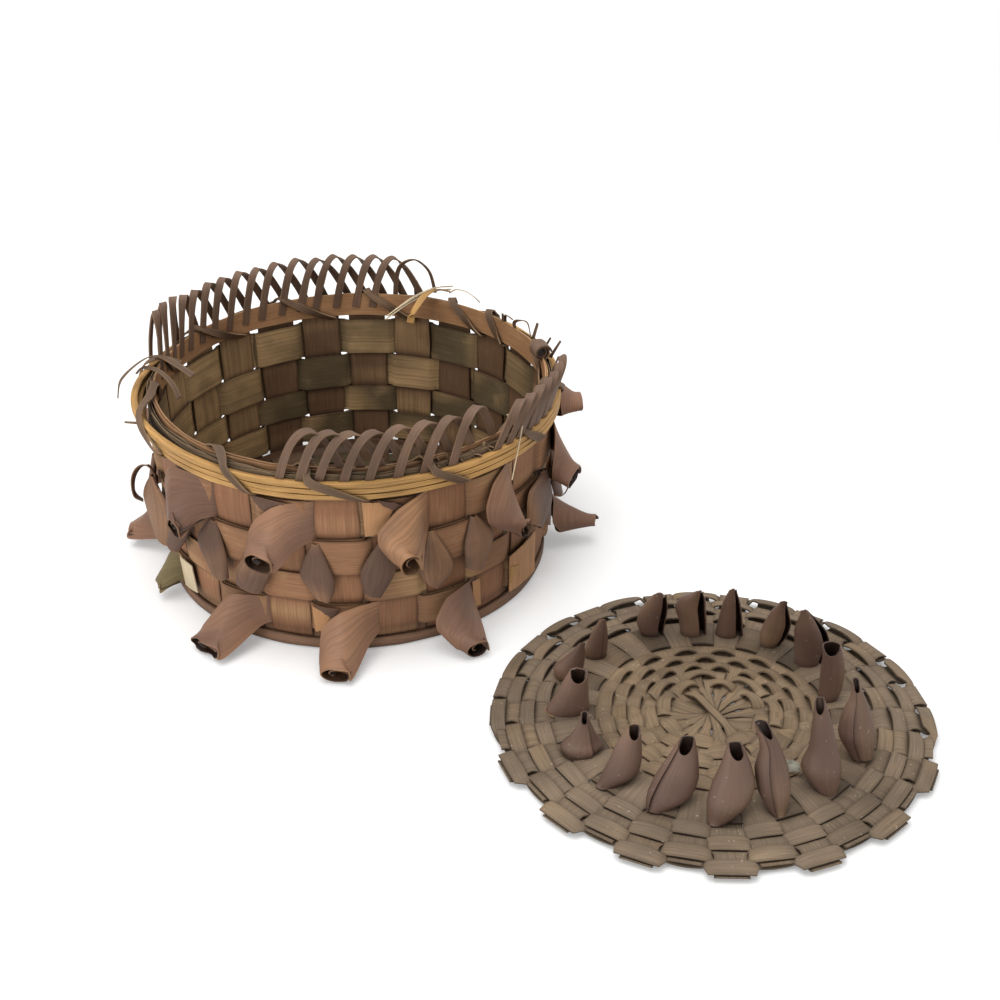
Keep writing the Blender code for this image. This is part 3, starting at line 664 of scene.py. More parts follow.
class BASKET_OT_weavers(bpy.types.Operator):
    """Model the rounds of the base and the four wide rows of the wall"""

    bl_idname = "basket.weavers"
    bl_label = "Weavers"

    def execute(self, context):
        sizes = context.scene.basket_sizes
        material = weaver_finish(context)
        for row in range(4):
            node = "wall_weaver_%d" % (row + 1)
            make_piece(node + "_wood", [self.wall_row(row, sizes)], sizes.splint, "basket", [node],
                       material, weld=True)
        for turn, starts in enumerate(BASE_ROUNDS):
            node = "base_weaver_%d" % (turn + 1)
            sheets = [self.base_round(start, 1 if number % 2 else -1) for number, start in enumerate(starts)]
            make_piece(node + "_wood", sheets, sizes.splint, "basket", [node], material,
                       weld=True)
        return {"FINISHED"}

    def wall_row(self, row, sizes):
        """One closed row of the wall in plain weave."""
        low, high = ROWS[row]
        # a row with an overlay strip passes behind that strip too, one layer deeper
        behind = -1.0 if row == 1 else -2.0

        def place(along, across):
            angle = 360 * (along % 1.0)
            share = weave_share(angle, row)
            level = low + (high - low) * across + wander_round(angle, 3, row + across, sizes.wobble)
            radius = wall_radius(level) + LAYER * (behind + (1.05 - behind) * share)
            radius += sizes.puff * share * (1 - (2 * across - 1) ** 2)
            return polar(angle, radius, level)

        def marks(along, across):
            angle = 360 * along
            pale = max(0.0, ripple(angle * 0.045, across * 0.4, row * 5.2) * 1.6)
            # painted light round the left end, painted shade where the weaver turns behind an upright
            return min(pale + painted_light_left(angle), 0.8), 0.5 * peak(weave_share(angle, row) - 0.5, 0.3)

        return lay_sheet(24 * 14, 6, place, (2 * math.pi * WALL_FOOT, high - low), row + 31, marks)

    def base_round(self, start, side):
        """One round of the base; the next one, on the other side, goes over where it goes under."""

        def place(along, across):
            angle = 360 * (along % 1.0)
            wave = side * 1.6 * math.cos(math.radians(12 * angle))
            level = BASE_LEVEL + 0.0011 * max(-1.0, min(1.0, wave))
            return polar(angle, start + BASE_ROUND_WIDTH * across, level)

        # the base's rounds are painted dark all over, as the shade inside the basket
        return lay_sheet(24 * 8, 3, place, (0.37, BASE_ROUND_WIDTH), start * 900,
                         lambda along, across: (0.0, 0.5))


# Curled points

# The way in which the mouths of the curls look: along the wall, out from it and up.
FACING = (-0.05, 0.90, 0.02)
# The radius at which millimetres along the wall are turned into an angle.
SIDE_RADIUS = 0.1085
# Each curl: the outline of its upper edge, the start of its lower edge, and its mouth with its half width and
# half depth. Places are in millimetres, along the wall from the upright, out from the wall and up.
UPPER_PLAIN = (
    ((17.5, -0.5, 91.8), (9.0, 3.0, 91.4), (1.0, 5.0, 88.6), (-7.5, 6.0, 81.0), (-11.5, 7.0, 72.5),
     (-11.0, 10.0, 63.5)),
    ((17.5, -0.5, 70.8), (11.0, 7.0, 66.5)), (-1.5, 20.0, 63.5, 5.8, 4.6),
)
LOWER_PLAIN = (
    ((18.5, -0.5, 29.3), (9.0, 4.0, 29.8), (-0.5, 8.0, 28.0), (-8.0, 10.0, 21.4), (-9.8, 13.0, 15.5),
     (-8.0, 20.0, 6.0)),
    ((18.5, -0.5, 12.2), (11.0, 11.0, 8.6)), (-1.4, 25.5, 6.4, 5.4, 4.2),
)
# The curls that the photograph shows, by row and by the angle of the upright.
CURLS = {
    (3, 255): (
        ((17.8, -0.5, 91.0), (4.0, 3.5, 90.4), (-3.0, 5.0, 87.4), (-11.0, 6.0, 80.0), (-14.4, 7.5, 73.1),
         (-15.4, 11.0, 62.0)),
        ((17.8, -0.5, 69.0), (9.0, 8.0, 66.5)), (-5.0, 20.0, 62.4, 7.9, 6.2),
    ),
    (3, 285): (
        ((18.5, -0.5, 92.6), (11.3, 4.0, 92.4), (1.0, 6.0, 87.4), (-8.6, 8.0, 77.0), (-8.6, 10.0, 69.5),
         (-2.5, 14.0, 61.0)),
        ((18.5, -0.5, 69.8), (13.0, 9.0, 66.2)), (4.0, 20.5, 62.0, 5.0, 7.2),
    ),
    (3, 225): (
        ((18.0, -0.5, 92.4), (3.7, 3.5, 92.8), (-9.5, 6.0, 92.0), (-14.0, 8.0, 82.0), (-12.5, 9.0, 68.0),
         (-5.0, 12.0, 62.5)),
        ((17.0, -0.5, 69.8), (10.0, 8.0, 68.0)), (3.5, 17.5, 64.0, 5.4, 6.4),
    ),
    (3, 315): (
        ((15.5, -0.5, 92.0), (6.0, 3.5, 92.4), (-3.5, 5.5, 86.5), (-9.0, 7.0, 75.5), (-8.0, 8.0, 66.0),
         (0.5, 11.0, 59.0)),
        ((14.5, -0.5, 70.5), (13.0, 8.0, 66.0)), (8.5, 17.5, 57.5, 3.6, 6.2),
    ),
    (3, 345): (
        ((15.5, -0.5, 92.0), (8.0, 3.5, 91.5), (0.0, 6.5, 88.0), (-7.0, 8.5, 80.0), (-9.0, 8.5, 71.0),
         (-7.0, 8.0, 63.0)),
        ((14.5, -0.5, 70.5), (10.0, 8.0, 68.0)), (-1.0, 19.0, 62.0, 9.0, 5.2),
    ),
    (3, 15): (
        ((15.5, -0.5, 92.0), (8.0, 4.0, 92.0), (0.0, 8.0, 91.0), (-6.0, 10.0, 84.0), (-8.0, 10.0, 76.0),
         (-7.0, 11.0, 70.0)),
        ((14.5, -0.5, 74.0), (10.0, 8.0, 74.0)), (-1.0, 24.0, 74.0, 7.0, 4.6),
    ),
    (0, 240): (
        ((18.0, -0.5, 28.6), (6.8, 4.0, 29.6), (-2.1, 8.0, 28.8), (-7.5, 13.0, 20.5), (-12.0, 19.0, 11.0),
         (-13.0, 20.0, 6.0)),
        ((17.0, -0.5, 12.0), (12.0, 6.0, 11.0)), (-4.5, 28.5, 5.2, 10.6, 4.4),
    ),
    (0, 270): (
        ((20.0, -0.5, 29.6), (9.3, 4.0, 30.2), (-0.6, 8.0, 28.4), (-8.6, 10.0, 21.4), (-9.6, 15.0, 14.0),
         (-8.8, 24.0, 6.0)),
        ((20.0, -0.5, 11.5), (12.5, 11.0, 9.4)), (-1.4, 31.0, 5.4, 7.0, 4.8),
    ),
    (0, 300): (
        ((18.5, -0.5, 29.8), (6.2, 5.0, 30.6), (-4.1, 8.0, 28.8), (-10.9, 11.0, 19.5), (-11.0, 13.5, 14.0),
         (-5.5, 23.0, 6.5)),
        ((18.5, -0.5, 11.8), (14.0, 10.0, 10.5)), (2.6, 28.5, 5.8, 5.6, 5.4),
    ),
    (0, 210): (
        ((7.0, -0.5, 28.8), (3.0, 3.0, 29.4), (-1.0, 4.5, 28.6), (-5.0, 6.0, 23.0), (-7.5, 8.0, 16.5),
         (-8.0, 11.0, 10.0)),
        ((7.0, -0.5, 12.6), (4.0, 7.0, 10.6)), (-2.5, 15.0, 7.0, 4.6, 3.6),
    ),
    (0, 0): (
        ((17.0, -0.5, 28.8), (9.0, 3.0, 29.6), (0.0, 5.0, 29.0), (-7.0, 5.0, 25.0), (-9.0, 5.5, 17.5),
         (-7.5, 10.0, 11.0)),
        ((17.0, -0.5, 12.6), (9.0, 9.0, 10.0)), (0.0, 30.0, 14.0, 3.4, 3.0),
    ),
}
# The points that have torn off, or whose strip hangs in a loop, which is modelled with the broken ends.
TORN_OFF = ((0, 330), (3, 195))
OLIVE_CURL = (0, 210)
# The points with a ragged mouth, and how deep its cuts are in millimetres.
RAGGED = ((0, 240), (0, 210), (3, 315))
RAGGED_CUT = 1.6
# How much paler and darker than the others some points are.
TINTS = {(3, 285): (0.58, 0.0), (0, 270): (0.16, 0.0), (0, 240): (0.06, 0.12), (3, 255): (0.05, 0.0),
         (0, 300): (0.0, 0.12), (3, 225): (0.0, 0.15)}
# The bands of curls: name, row, angle of the first one and seed.
CURL_BANDS = (("curl_band_upper", 3, 15, 51.0), ("curl_band_lower", 0, 0, 71.0))
# How much narrower than its row an overlay strip is at each edge, and how far off the weaver it lies.
OVERLAY_INSET = 0.0004
OVERLAY_LIFT = 0.0003


def wall_spot(angle, spot):
    """A place beside an upright: along the wall, out from it and up, in millimetres."""
    side, out, height = [value / 1000 for value in spot]
    return polar(angle + math.degrees(side / SIDE_RADIUS), wall_radius(height) + out, height)


def curl_sheet(angle, outline, root, mouth, seed, ragged, tint):
    """One curled point and its inner end.

    The strip leaves the upright on the right. Its upper edge follows the outline on the wall, its lower edge
    swings outward and closes into the round mouth.
    """
    middle = Vector(mouth[:3])
    wide, deep = mouth[3:]
    edge = [Vector(point) for point in outline]
    edge += [edge[-1] + Vector((4.0, -3.0, -1.0)), Vector((middle.x + 4.0, 4.5, middle.z + 3.0)),
             Vector((middle.x + 9.0, 5.0, middle.z + 5.0))]
    belly = (edge[0] + edge[3] + Vector(root[0])) / 3
    axis = (middle - belly).normalized()
    facing = (axis * 0.30 + Vector(FACING)).normalized()
    first = (Vector((1, 0, 0)) - facing * facing.x).normalized()
    second = facing.cross(first)
    if second.z < 0:
        second = -second

    def on_mouth(degrees, size):
        swing = math.radians(degrees)
        return middle + size * (wide * math.cos(swing) * first + deep * math.sin(swing) * second)

    lower = [Vector(point) for point in root]
    lower += [on_mouth(-25 + 66 * step, 1 - 0.03 * step) for step in range(7)]

    def place(along, across):
        spot = Vector(through(lower, along)).lerp(bent(edge, along, 0.5), across)
        spot.y += 0.5 * math.sin(math.pi * across) * math.sin(math.pi * min(along * 1.5, 1.0))
        if ragged and across < 0.2:
            spot -= axis * ragged * max(0.0, 0.3 + 1.3 * ripple(along * 14, seed, 0)) * (1 - across / 0.2)
        elif across < 0.02:
            spot += axis * wander(along * 9, 0, seed, 0.9)
        return wall_spot(angle, spot)

    def marks(along, across):
        cloud = ripple(along * 2.6, across * 1.6, seed * 3.1)
        pale = max(0.0, 0.35 * cloud + tint[0])
        # Painted shade: darker into the roll towards its mouth and where the strip leaves its upright; the
        # tint and the clouds add tone.
        dark = tint[1] + 0.7 * ease((along - 0.64) / 0.08) + 0.4 * peak(along, 0.04)
        dark += 0.15 * ease((along - 0.45) / 0.15) + max(0.0, -0.4 * cloud)
        return min(pale, 0.6), min(dark, 0.85)

    def rolled_end(along, across):
        spot = on_mouth(30 + 210 * along, 0.74 - 0.42 * along)
        return wall_spot(angle, spot - axis * (0.4 + 0.8 * along + 2.0 * across))

    outer = lay_sheet(48, 12, place, (0.075, 0.022), seed, marks)
    # the inner end is painted dark as the shade deep in the mouth
    return [outer, lay_sheet(24, 4, rolled_end, (0.030, 0.006), seed, lambda along, across: (0.0, 0.45))]


def varied(shape, seed):
    """A plain curl's shape with small differences of its own."""
    outline, root, mouth = shape
    turn = ripple(seed, 0.3, 0.1)
    lift = ripple(seed, 3.3, 0.1)
    moved = [(side + 2.2 * turn * min(step, 3) / 3, out + 1.2 * lift * min(step, 2) / 2, level)
             for step, (side, out, level) in enumerate(outline)]
    return moved, root, (mouth[0] + 2.6 * turn, mouth[1] + 1.6 * lift, mouth[2] + 1.6 * lift,
                         mouth[3] * (1 + 0.25 * turn), mouth[4])


def overlay_ring(row, seed, wobble, marks=None):
    """The overlay strip of a row: behind the outside uprights, over the weaver elsewhere."""
    low = ROWS[row][0] + OVERLAY_INSET
    high = ROWS[row][1] - OVERLAY_INSET

    def place(along, across):
        angle = 360 * (along % 1.0)
        level = low + (high - low) * across + wander_round(angle, 3, seed + across, wobble)
        radius = wall_radius(level) + LAYER * (-1.0 + 3.0 * weave_share(angle, row)) + OVERLAY_LIFT
        return polar(angle, radius, level)

    return lay_sheet(24 * 12, 5, place, (2 * math.pi * WALL_FOOT, high - low), seed, marks)


class BASKET_OT_curls(bpy.types.Operator):
    """Model the overlay strips of the top and lowest rows with their 24 curled points"""

    bl_idname = "basket.curls"
    bl_label = "Curled points"

    def execute(self, context):
        splint = context.scene.basket_sizes.splint
        wobble = context.scene.basket_sizes.wobble
        material = finish(context, "curl", 0.10, "hollow", "tan", roughness=0.48, grain=0.75, blotch=38.0,
                          worn_edge=0.36)
        olive = finish(context, "olive", 0.0, "hollow", roughness=0.6, grain=1.0, blotch=38.0)
        strip = weaver_finish(context)
        for name, row, first, seed in CURL_BANDS:
            ring = overlay_ring(row, seed, wobble, self.strip_marks(row))
            make_piece(name + "_strip", [ring], splint, "basket", [name], strip, weld=True)
            sheets = []
            for index in range(12):
                angle = first + 30 * index
                if (row, angle) in TORN_OFF:
                    continue
                shape = CURLS.get((row, angle))
                if shape is None:
                    shape = varied(UPPER_PLAIN if row else LOWER_PLAIN, seed + 1.7 * index)
                ragged = RAGGED_CUT if (row, angle) in RAGGED else 0.0
                tint = TINTS.get((row, angle), (0.0, 0.0))
                curl = curl_sheet(angle, *shape, seed + index, ragged, tint)
                if (row, angle) == OLIVE_CURL:
                    make_piece(name + "_olive", curl, splint, "basket", [name], olive,
                               hollow=True)
                else:
                    sheets += curl
            make_piece(name + "_points", sheets, splint, "basket", [name], material,
                       hollow=True)
        return {"FINISHED"}

    def strip_marks(self, row):
        """The tones of an overlay strip: worn in places, with painted shade beside the uprights."""

        def marks(along, across):
            pale = max(0.0, ripple(along * 19, across * 0.5, 4.4) * 1.2)
            # painted shade where the strip turns behind an upright
            return min(pale, 0.5), 0.1 + 0.5 * peak(weave_share(360 * along, row) - 0.4, 0.4)

        return marks


# Each leaf's corners in millimetres beside its upright: tip, left, right, mouth left, mouth right. The first
# two are the plain leaves at the left and right of an upright, the others stand beside the one at that angle.
LEAVES = {
    -1: ((-10.5, 2.0, 68.5), (-19.0, 5.5, 49.5), (-1.5, 6.0, 48.5), (-13.0, 8.0, 38.5), (-4.5, 8.0, 36.5)),
    1: ((19.0, 2.5, 68.5), (9.0, 6.0, 53.0), (25.0, 6.0, 53.0), (8.5, 9.0, 42.5), (15.5, 9.0, 37.5)),
    (210, -1): ((-14.0, 6.0, 69.0), (-25.8, 11.5, 52.0), (6.0, 5.0, 57.0), (-14.0, 9.0, 36.0),
        (0.0, 7.0, 32.0)),
    (330, -1): ((22.7, 3.0, 67.3), (-4.1, 7.0, 69.0), (26.8, 7.0, 49.3), (-8.3, 10.0, 52.8),
        (4.4, 10.0, 42.4)),
    (270, -1): ((-11.2, 2.0, 67.5), (-20.0, 5.0, 50.0), (-2.6, 6.0, 46.5), (-12.4, 8.0, 38.6),
        (-4.6, 8.0, 35.4)),
    (270, 1): ((22.5, 3.0, 68.8), (10.4, 6.0, 53.0), (27.6, 6.0, 51.5), (11.4, 8.0, 40.8), (19.6, 8.0, 37.3)),
    (300, -1): ((-9.9, 2.0, 69.1), (-17.9, 6.0, 50.5), (1.1, 6.0, 47.2), (-14.4, 8.0, 41.4),
        (-8.0, 8.0, 36.6)),
    (300, 1): ((14.8, 2.0, 69.8), (7.6, 6.0, 56.3), (25.6, 6.0, 56.2), (6.8, 9.0, 44.0), (15.6, 9.0, 39.4)),
    (240, -1): ((-12.2, 2.0, 68.5), (-23.0, 6.0, 55.5), (-3.9, 6.0, 51.4), (-11.4, 9.0, 40.2),
        (-2.0, 9.0, 38.6)),
    (240, 1): ((18.8, 3.0, 66.6), (3.5, 7.0, 48.2), (22.5, 6.0, 50.7), (2.5, 8.0, 38.8), (16.8, 9.0, 36.0)),
}


class BASKET_OT_leaves(bpy.types.Operator):
    """Model the rolled leaves between the points"""

    bl_idname = "basket.leaves"
    bl_label = "Rolled leaves"

    def execute(self, context):
        sizes = context.scene.basket_sizes
        material = finish(context, "leaf", 0.10, "hollow", "tan", roughness=0.58, grain=0.7)
        ring = overlay_ring(2, 91.0, sizes.wobble)
        make_piece("leaf_band_strip", [ring], sizes.splint, "basket", ["leaf_band"],
                   weaver_finish(context), weld=True)
        sheets = []
        for index in range(12):
            for side in (-1, 1):
                corners = LEAVES.get((30 * index, side), LEAVES[side])
                sheets.append(self.leaf(30 * index, corners, 111.0 + side * 10 + index))
        make_piece("leaf_band_leaves", sheets, sizes.splint, "basket", ["leaf_band"], material,
                   hollow=True)
        return {"FINISHED"}

    def leaf(self, angle, corners, seed):
        """A flattened roll between its corners: pointed above, widest at its middle, open below."""
        tip, left, right, mouth_left, mouth_right = [Vector(corner) for corner in corners]
        lefts = (tip + Vector((-1.6, 0, 0)), left, mouth_left)
        rights = (tip + Vector((1.6, 0, 0)), right, mouth_right)

        def place(along, across):
            down = 1 - across
            swing = math.radians(-15 + 395 * along)
            share = 0.5 + 0.5 * shaped(math.cos(swing), 0.8) * (1 - 0.12 * along)
            spot = bent(lefts, down, 0.25).lerp(bent(rights, down, 0.25), share)
            rise = math.sin(swing)
            depth = 1.2 + 2.6 * down
            spot.y += (depth if rise > 0 else 1.2) * rise * (1 - 0.2 * along)
            spot.y -= 1.6 * down
            spot.z += wander(along * 6, down * 3, seed, 0.7)
            return wall_spot(angle, spot)

        def marks(along, across):
            cloud = ripple(along * 2.0, across * 1.2, seed * 2.3)
            # painted shade along the roll's outer edge and at its inner end
            dark = 0.75 if along > 0.93 or along < 0.02 else max(0.0, -0.4 * cloud)
            return min(max(0.0, 0.7 * cloud), 0.4), dark

        return lay_sheet(36, 12, place, (0.045, 0.032), seed, marks, turned=True)


# The rim

def strips_apart(angle):
    """How far the outer strips have parted at the left of the rim, from 0 to 1."""
    return math.exp(-((angle - 194) / 24) ** 2)


def rounded_ring(radius, level, half_width, half_height, seed, waver, power=0.6, spread=0.0):
    """A closed hoop with an oval section that wavers a little."""

    def place(along, across):
        angle = 360 * (along % 1.0)
        swing = 2 * math.pi * (across % 1.0)
        move = wander_round(angle, 5, seed, waver)
        size = 1 + wander_round(angle, 9, seed + 3, 0.16)
        apart = strips_apart(angle)
        out = radius + half_width * shaped(math.cos(swing), power) + 0.5 * move + spread * apart
        up = level + half_height * size * shaped(math.sin(swing), power) + move + 0.3 * spread * apart
        return polar(angle, out, up)

    return lay_sheet(240, 12, place, (2 * math.pi * radius, 4 * half_height), seed)


def standing_ring(radius, low, high, seed, waver, marks=None):
    """A flat strip that stands on its edge along the rim."""

    def place(along, across):
        angle = 360 * (along % 1.0)
        level = low + (high - low) * across + wander_round(angle, 5, seed + across, waver)
        return polar(angle, radius + wander_round(angle, 4, seed + 9, 0.0003), level)

    return lay_sheet(288, 3, place, (2 * math.pi * radius, high - low), seed, marks)


def painted_front_shade(along, across):
    """Painted shade on the inner hoop, darker along the basket's front."""
    angle = 360 * along
    return 0.0, 0.5 * ease((angle - 180) / 14) * ease((345 - angle) / 14)


# The radii of the filler strips, and lower edge, upper edge and parting of each outer strip.
FILLER_RADII = (0.1081, 0.1087, 0.1093, 0.1099, 0.1104)
OUTER_STRIPS = ((0.0952, 0.0985, 0.0006), (0.0985, 0.1017, 0.0022), (0.1017, 0.1049, 0.0042))


class BASKET_OT_hoops(bpy.types.Operator):
    """Model the foot hoop, the inner hoop, the filler strips and the golden outer strips"""

    bl_idname = "basket.hoops"
    bl_label = "Hoops"

    def execute(self, context):
        hoop = finish(context, "hoop", 0.25, "hoop", roughness=0.62)
        filler = finish(context, "filler", 0.15, None, roughness=0.72)
        strip = finish(context, "strip", 0.25, None, roughness=0.60, grain=1.1)
        foot = finish(context, "foot", 0.06, None, roughness=0.62, worn_edge=0.0)
        sheets = [rounded_ring(0.1056, 0.0033, 0.0012, 0.0031, 3.0, 0.0003),
                  standing_ring(0.1044, 0.0006, 0.0110, 4.0, 0.0004)]
        make_piece("foot_hoop_wood", sheets, 0.0003, "basket", ["foot_hoop"], foot, weld=True)
        # the inner hoop gets painted shade along the front
        sheets = [standing_ring(0.1064, 0.0958, 0.1094, 5.0, 0.0007, painted_front_shade),
                  standing_ring(0.1073, 0.0956, 0.1088, 6.0, 0.0010, painted_front_shade)]
        make_piece("inner_rim_hoop_wood", sheets, 0.0008, "basket", ["inner_rim_hoop"], hoop,
                   weld=True)
        sheets = [standing_ring(radius, 0.0962, 0.1058 + 0.0012 * (index % 2), 8.0 + index, 0.0030)
                  for index, radius in enumerate(FILLER_RADII)]
        make_piece("rim_filler_wood", sheets, 0.0004, "basket", ["rim_filler"], filler, weld=True)
        for index, (low, high, parting) in enumerate(OUTER_STRIPS):
            node = "outer_rim_strip_%d" % (index + 1)
            sheet = rounded_ring(0.1129, (low + high) / 2, 0.0019, 0.00146, 15.0 + index, 0.0004, power=0.25,
                                 spread=parting)
            make_piece(node + "_wood", [sheet], 0.0, "basket", [node], strip, weld=True)
        return {"FINISHED"}


# Where each turn of the lashing starts inside, reaches the top inside and outside, and ends outside, in
# degrees.
LASHING_TURNS = ((39, 45, 46.5, 48), (49, 60, 62, 73), (74.6, 89, 91, 100), (101, 117, 119, 131),
                 (132.6, 150, 152, 160), (162, 172, 173.5, 178), (180, 188, 207, 216),
                 (217.5, 234, 241.5, 247.8), (249, 261, 264, 277), (279, 293, 295.5, 304),
                 (306, 323, 326, 334), (336, 352, 355, 363), (365, 378, 381, 397))
# The way of one turn: which part of it, how far along that part, radius and height.
LASHING_STATIONS = (
    ("in", 0.0, 0.1052, 0.0946), ("in", 0.3, 0.1049, 0.0980), ("in", 0.65, 0.1049, 0.1040),
    ("in", 0.93, 0.1050, 0.1092), ("over", 0.18, 0.1062, 0.1113), ("over", 0.5, 0.1088, 0.1113),
    ("over", 0.8, 0.1120, 0.1084), ("out", 0.03, 0.1152, 0.1054), ("out", 0.45, 0.1158, 0.1010),
    ("out", 0.92, 0.1157, 0.0962), ("under", 0.4, 0.1128, 0.0941), ("under", 0.8, 0.1080, 0.0938),
)
# The middle of the rim's section, and the radius past which the lashing follows the parted outer strips.
RIM_CENTRE = (0.1104, 0.1015)
RIM_OUTSIDE = 0.1110


class BASKET_OT_lashing(bpy.types.Operator):
    """Model the splint that winds round the hoops"""

    bl_idname = "basket.lashing"
    bl_label = "Rim lashing"

    def execute(self, context):
        sizes = context.scene.basket_sizes
        material = finish(context, "lashing", 0.10, None, roughness=0.60)
        points = []
        faces = []
        for turn, (low, high, top, bottom) in enumerate(LASHING_TURNS):
            after = LASHING_TURNS[(turn + 1) % len(LASHING_TURNS)][0]
            after += 360 if after < bottom else 0
            spans = {"in": (low, high), "over": (high, top), "out": (top, bottom), "under": (bottom, after)}
            for part, share, radius, level in LASHING_STATIONS:
                start, end = spans[part]
                angle = start + (end - start) * share
                if radius > RIM_OUTSIDE:
                    radius += 0.0048 * strips_apart(angle)
                    level += 0.0014 * strips_apart(angle)
                points.append(polar(angle, radius, level))
                faces.append((points[-1] - polar(angle, *RIM_CENTRE)).normalized())
        points.append(points[0])
        faces.append(faces[0])
        sheet = lay_ribbon(points, faces, sizes.lashing_width, len(points) * 6, 4, 21.0)
        make_piece("rim_lashing_wood", [sheet], 0.0009, "basket", ["rim_lashing"], material,
                   inward=False)
        return {"FINISHED"}


# Angles of the arches' tops in degrees, as they stand along the rim.
BACK_LOOPS = (80.8, 86.7, 93.0, 99.2, 104.6, 111.0, 118.0, 124.2, 130.4, 136.7, 142.4, 148.2, 153.6, 159.0,
              165.0, 170.5)
FRONT_LOOPS = (264.6, 269.9, 275.2, 281.2, 288.0, 294.8, 301.8, 310.0)
RIGHT_LOOPS = (322.0, 326.5, 331.0, 335.5, 340.0, 344.5, 349.0)
# Each run of arches: name, tops, seed, how far the outer and inner legs reach in degrees, how sharply they
# bend, the height, and the lean outward.
LOOP_RUNS = (
    ("loop_edging_back", BACK_LOOPS, 201.0, (9.8, 7.0, 1.5, 2.1, 0.0318, 0.0)),
    ("loop_edging_front", FRONT_LOOPS, 231.0, (9.2, 8.6, 2.4, 1.7, 0.0292, 0.0)),
    ("loop_edging_right", RIGHT_LOOPS, 261.0, (8.0, 6.0, 2.0, 2.0, 0.0280, 0.0075)),
)
# The radius and height at which the arches start.
LOOP_RADIUS = 0.1090
LOOP_FOOT = 0.1010


class BASKET_OT_loops(bpy.types.Operator):
    """Model the looped edging, arch by arch"""

    bl_idname = "basket.loops"
    bl_label = "Looped edging"

    def execute(self, context):
        width = context.scene.basket_sizes.loop_width
        material = finish(context, "loop", 0.06, None, roughness=0.58, worn_edge=0.10)
        for name, tops, seed, legs in LOOP_RUNS:
            sheets = [self.arch(top, seed + index, width, legs) for index, top in enumerate(tops)]
            make_piece(name + "_wood", sheets, 0.0008, "basket", [name], material,
                       inward=False)
        return {"FINISHED"}

    def arch(self, top, seed, width, legs):
        """One arch of the edging, from the outer foot over the top to the inner foot."""
        outer, inner, outer_power, inner_power, height, lean = legs
        # the back run's last arches, at the left, stand taller and steeper, with their outer feet farther out
        steep = ease((top - 146) / 22) if top < 180 else 0.0
        height += wander(seed, 0, 1, 0.0020) + 0.0054 * steep
        outer += wander(seed, 3, 1, 1.0) - 8.0 * steep
        inner += wander(seed, 7, 1, 1.0) - 2.0 * steep
        points = []
        faces = []
        for step in range(-8, 9):
            reach = abs(step) / 8
            swing = math.pi / 2 * (1 + step / 8)
            radius = LOOP_RADIUS + 0.0032 * math.cos(swing) + lean * (1 - reach ** 2)
            if step < 0:
                radius += 0.0046 * steep * reach
                angle, power = top - outer * reach, outer_power
            else:
                angle, power = top + inner * reach, inner_power
            points.append(polar(angle, radius, LOOP_FOOT + height * (1 - reach ** power)))
            faces.append(polar(angle, 1, 0) * math.cos(swing) + Vector((0, 0, 1)) * math.sin(swing) ** 2)
        return lay_ribbon(points, faces, width, 32, 4, seed)


# The lid

# How far the splints rise and fall where they cross.
LID_WAVE = 0.0013
# Where each round starts, from the lid's middle. Rounds are numbered from there, and the band is number 5.
INNER_ROUNDS = [0.0205 + 0.0072 * index for index in range(5)]
LID_BAND = (0.0577, 0.0773)
EDGE_ROUNDS = [0.0797 + 0.0072 * index for index in range(4)]
ALL_ROUNDS = INNER_ROUNDS + [LID_BAND[0]] + EDGE_ROUNDS
BAND = 5
LAST_ROUND = 9
# Stations between two spokes, counted in spokes, where the last two rounds have parted.
LID_GAPS = (1.5, 2.5, 4.5, 6.5, 9.5, 12.5, 13.5, 31.5)


def lid_height(radius):
    """Middle layer of the lid at a radius."""
    return 0.0030 + 0.0030 * (1 - (radius / LID_RADIUS) ** 2)


def drawn_in(angle):
    """How far the last round and its spokes are drawn in at the lid's front, in metres."""
    return 0.0050 * ease((-0.05 - math.sin(math.radians(angle))) / 0.25)


def lid_sign(index, spoke):
    """Plus one where a round passes over a spoke, minus one where it passes under."""
    return 1 if (spoke + index) % 2 else -1


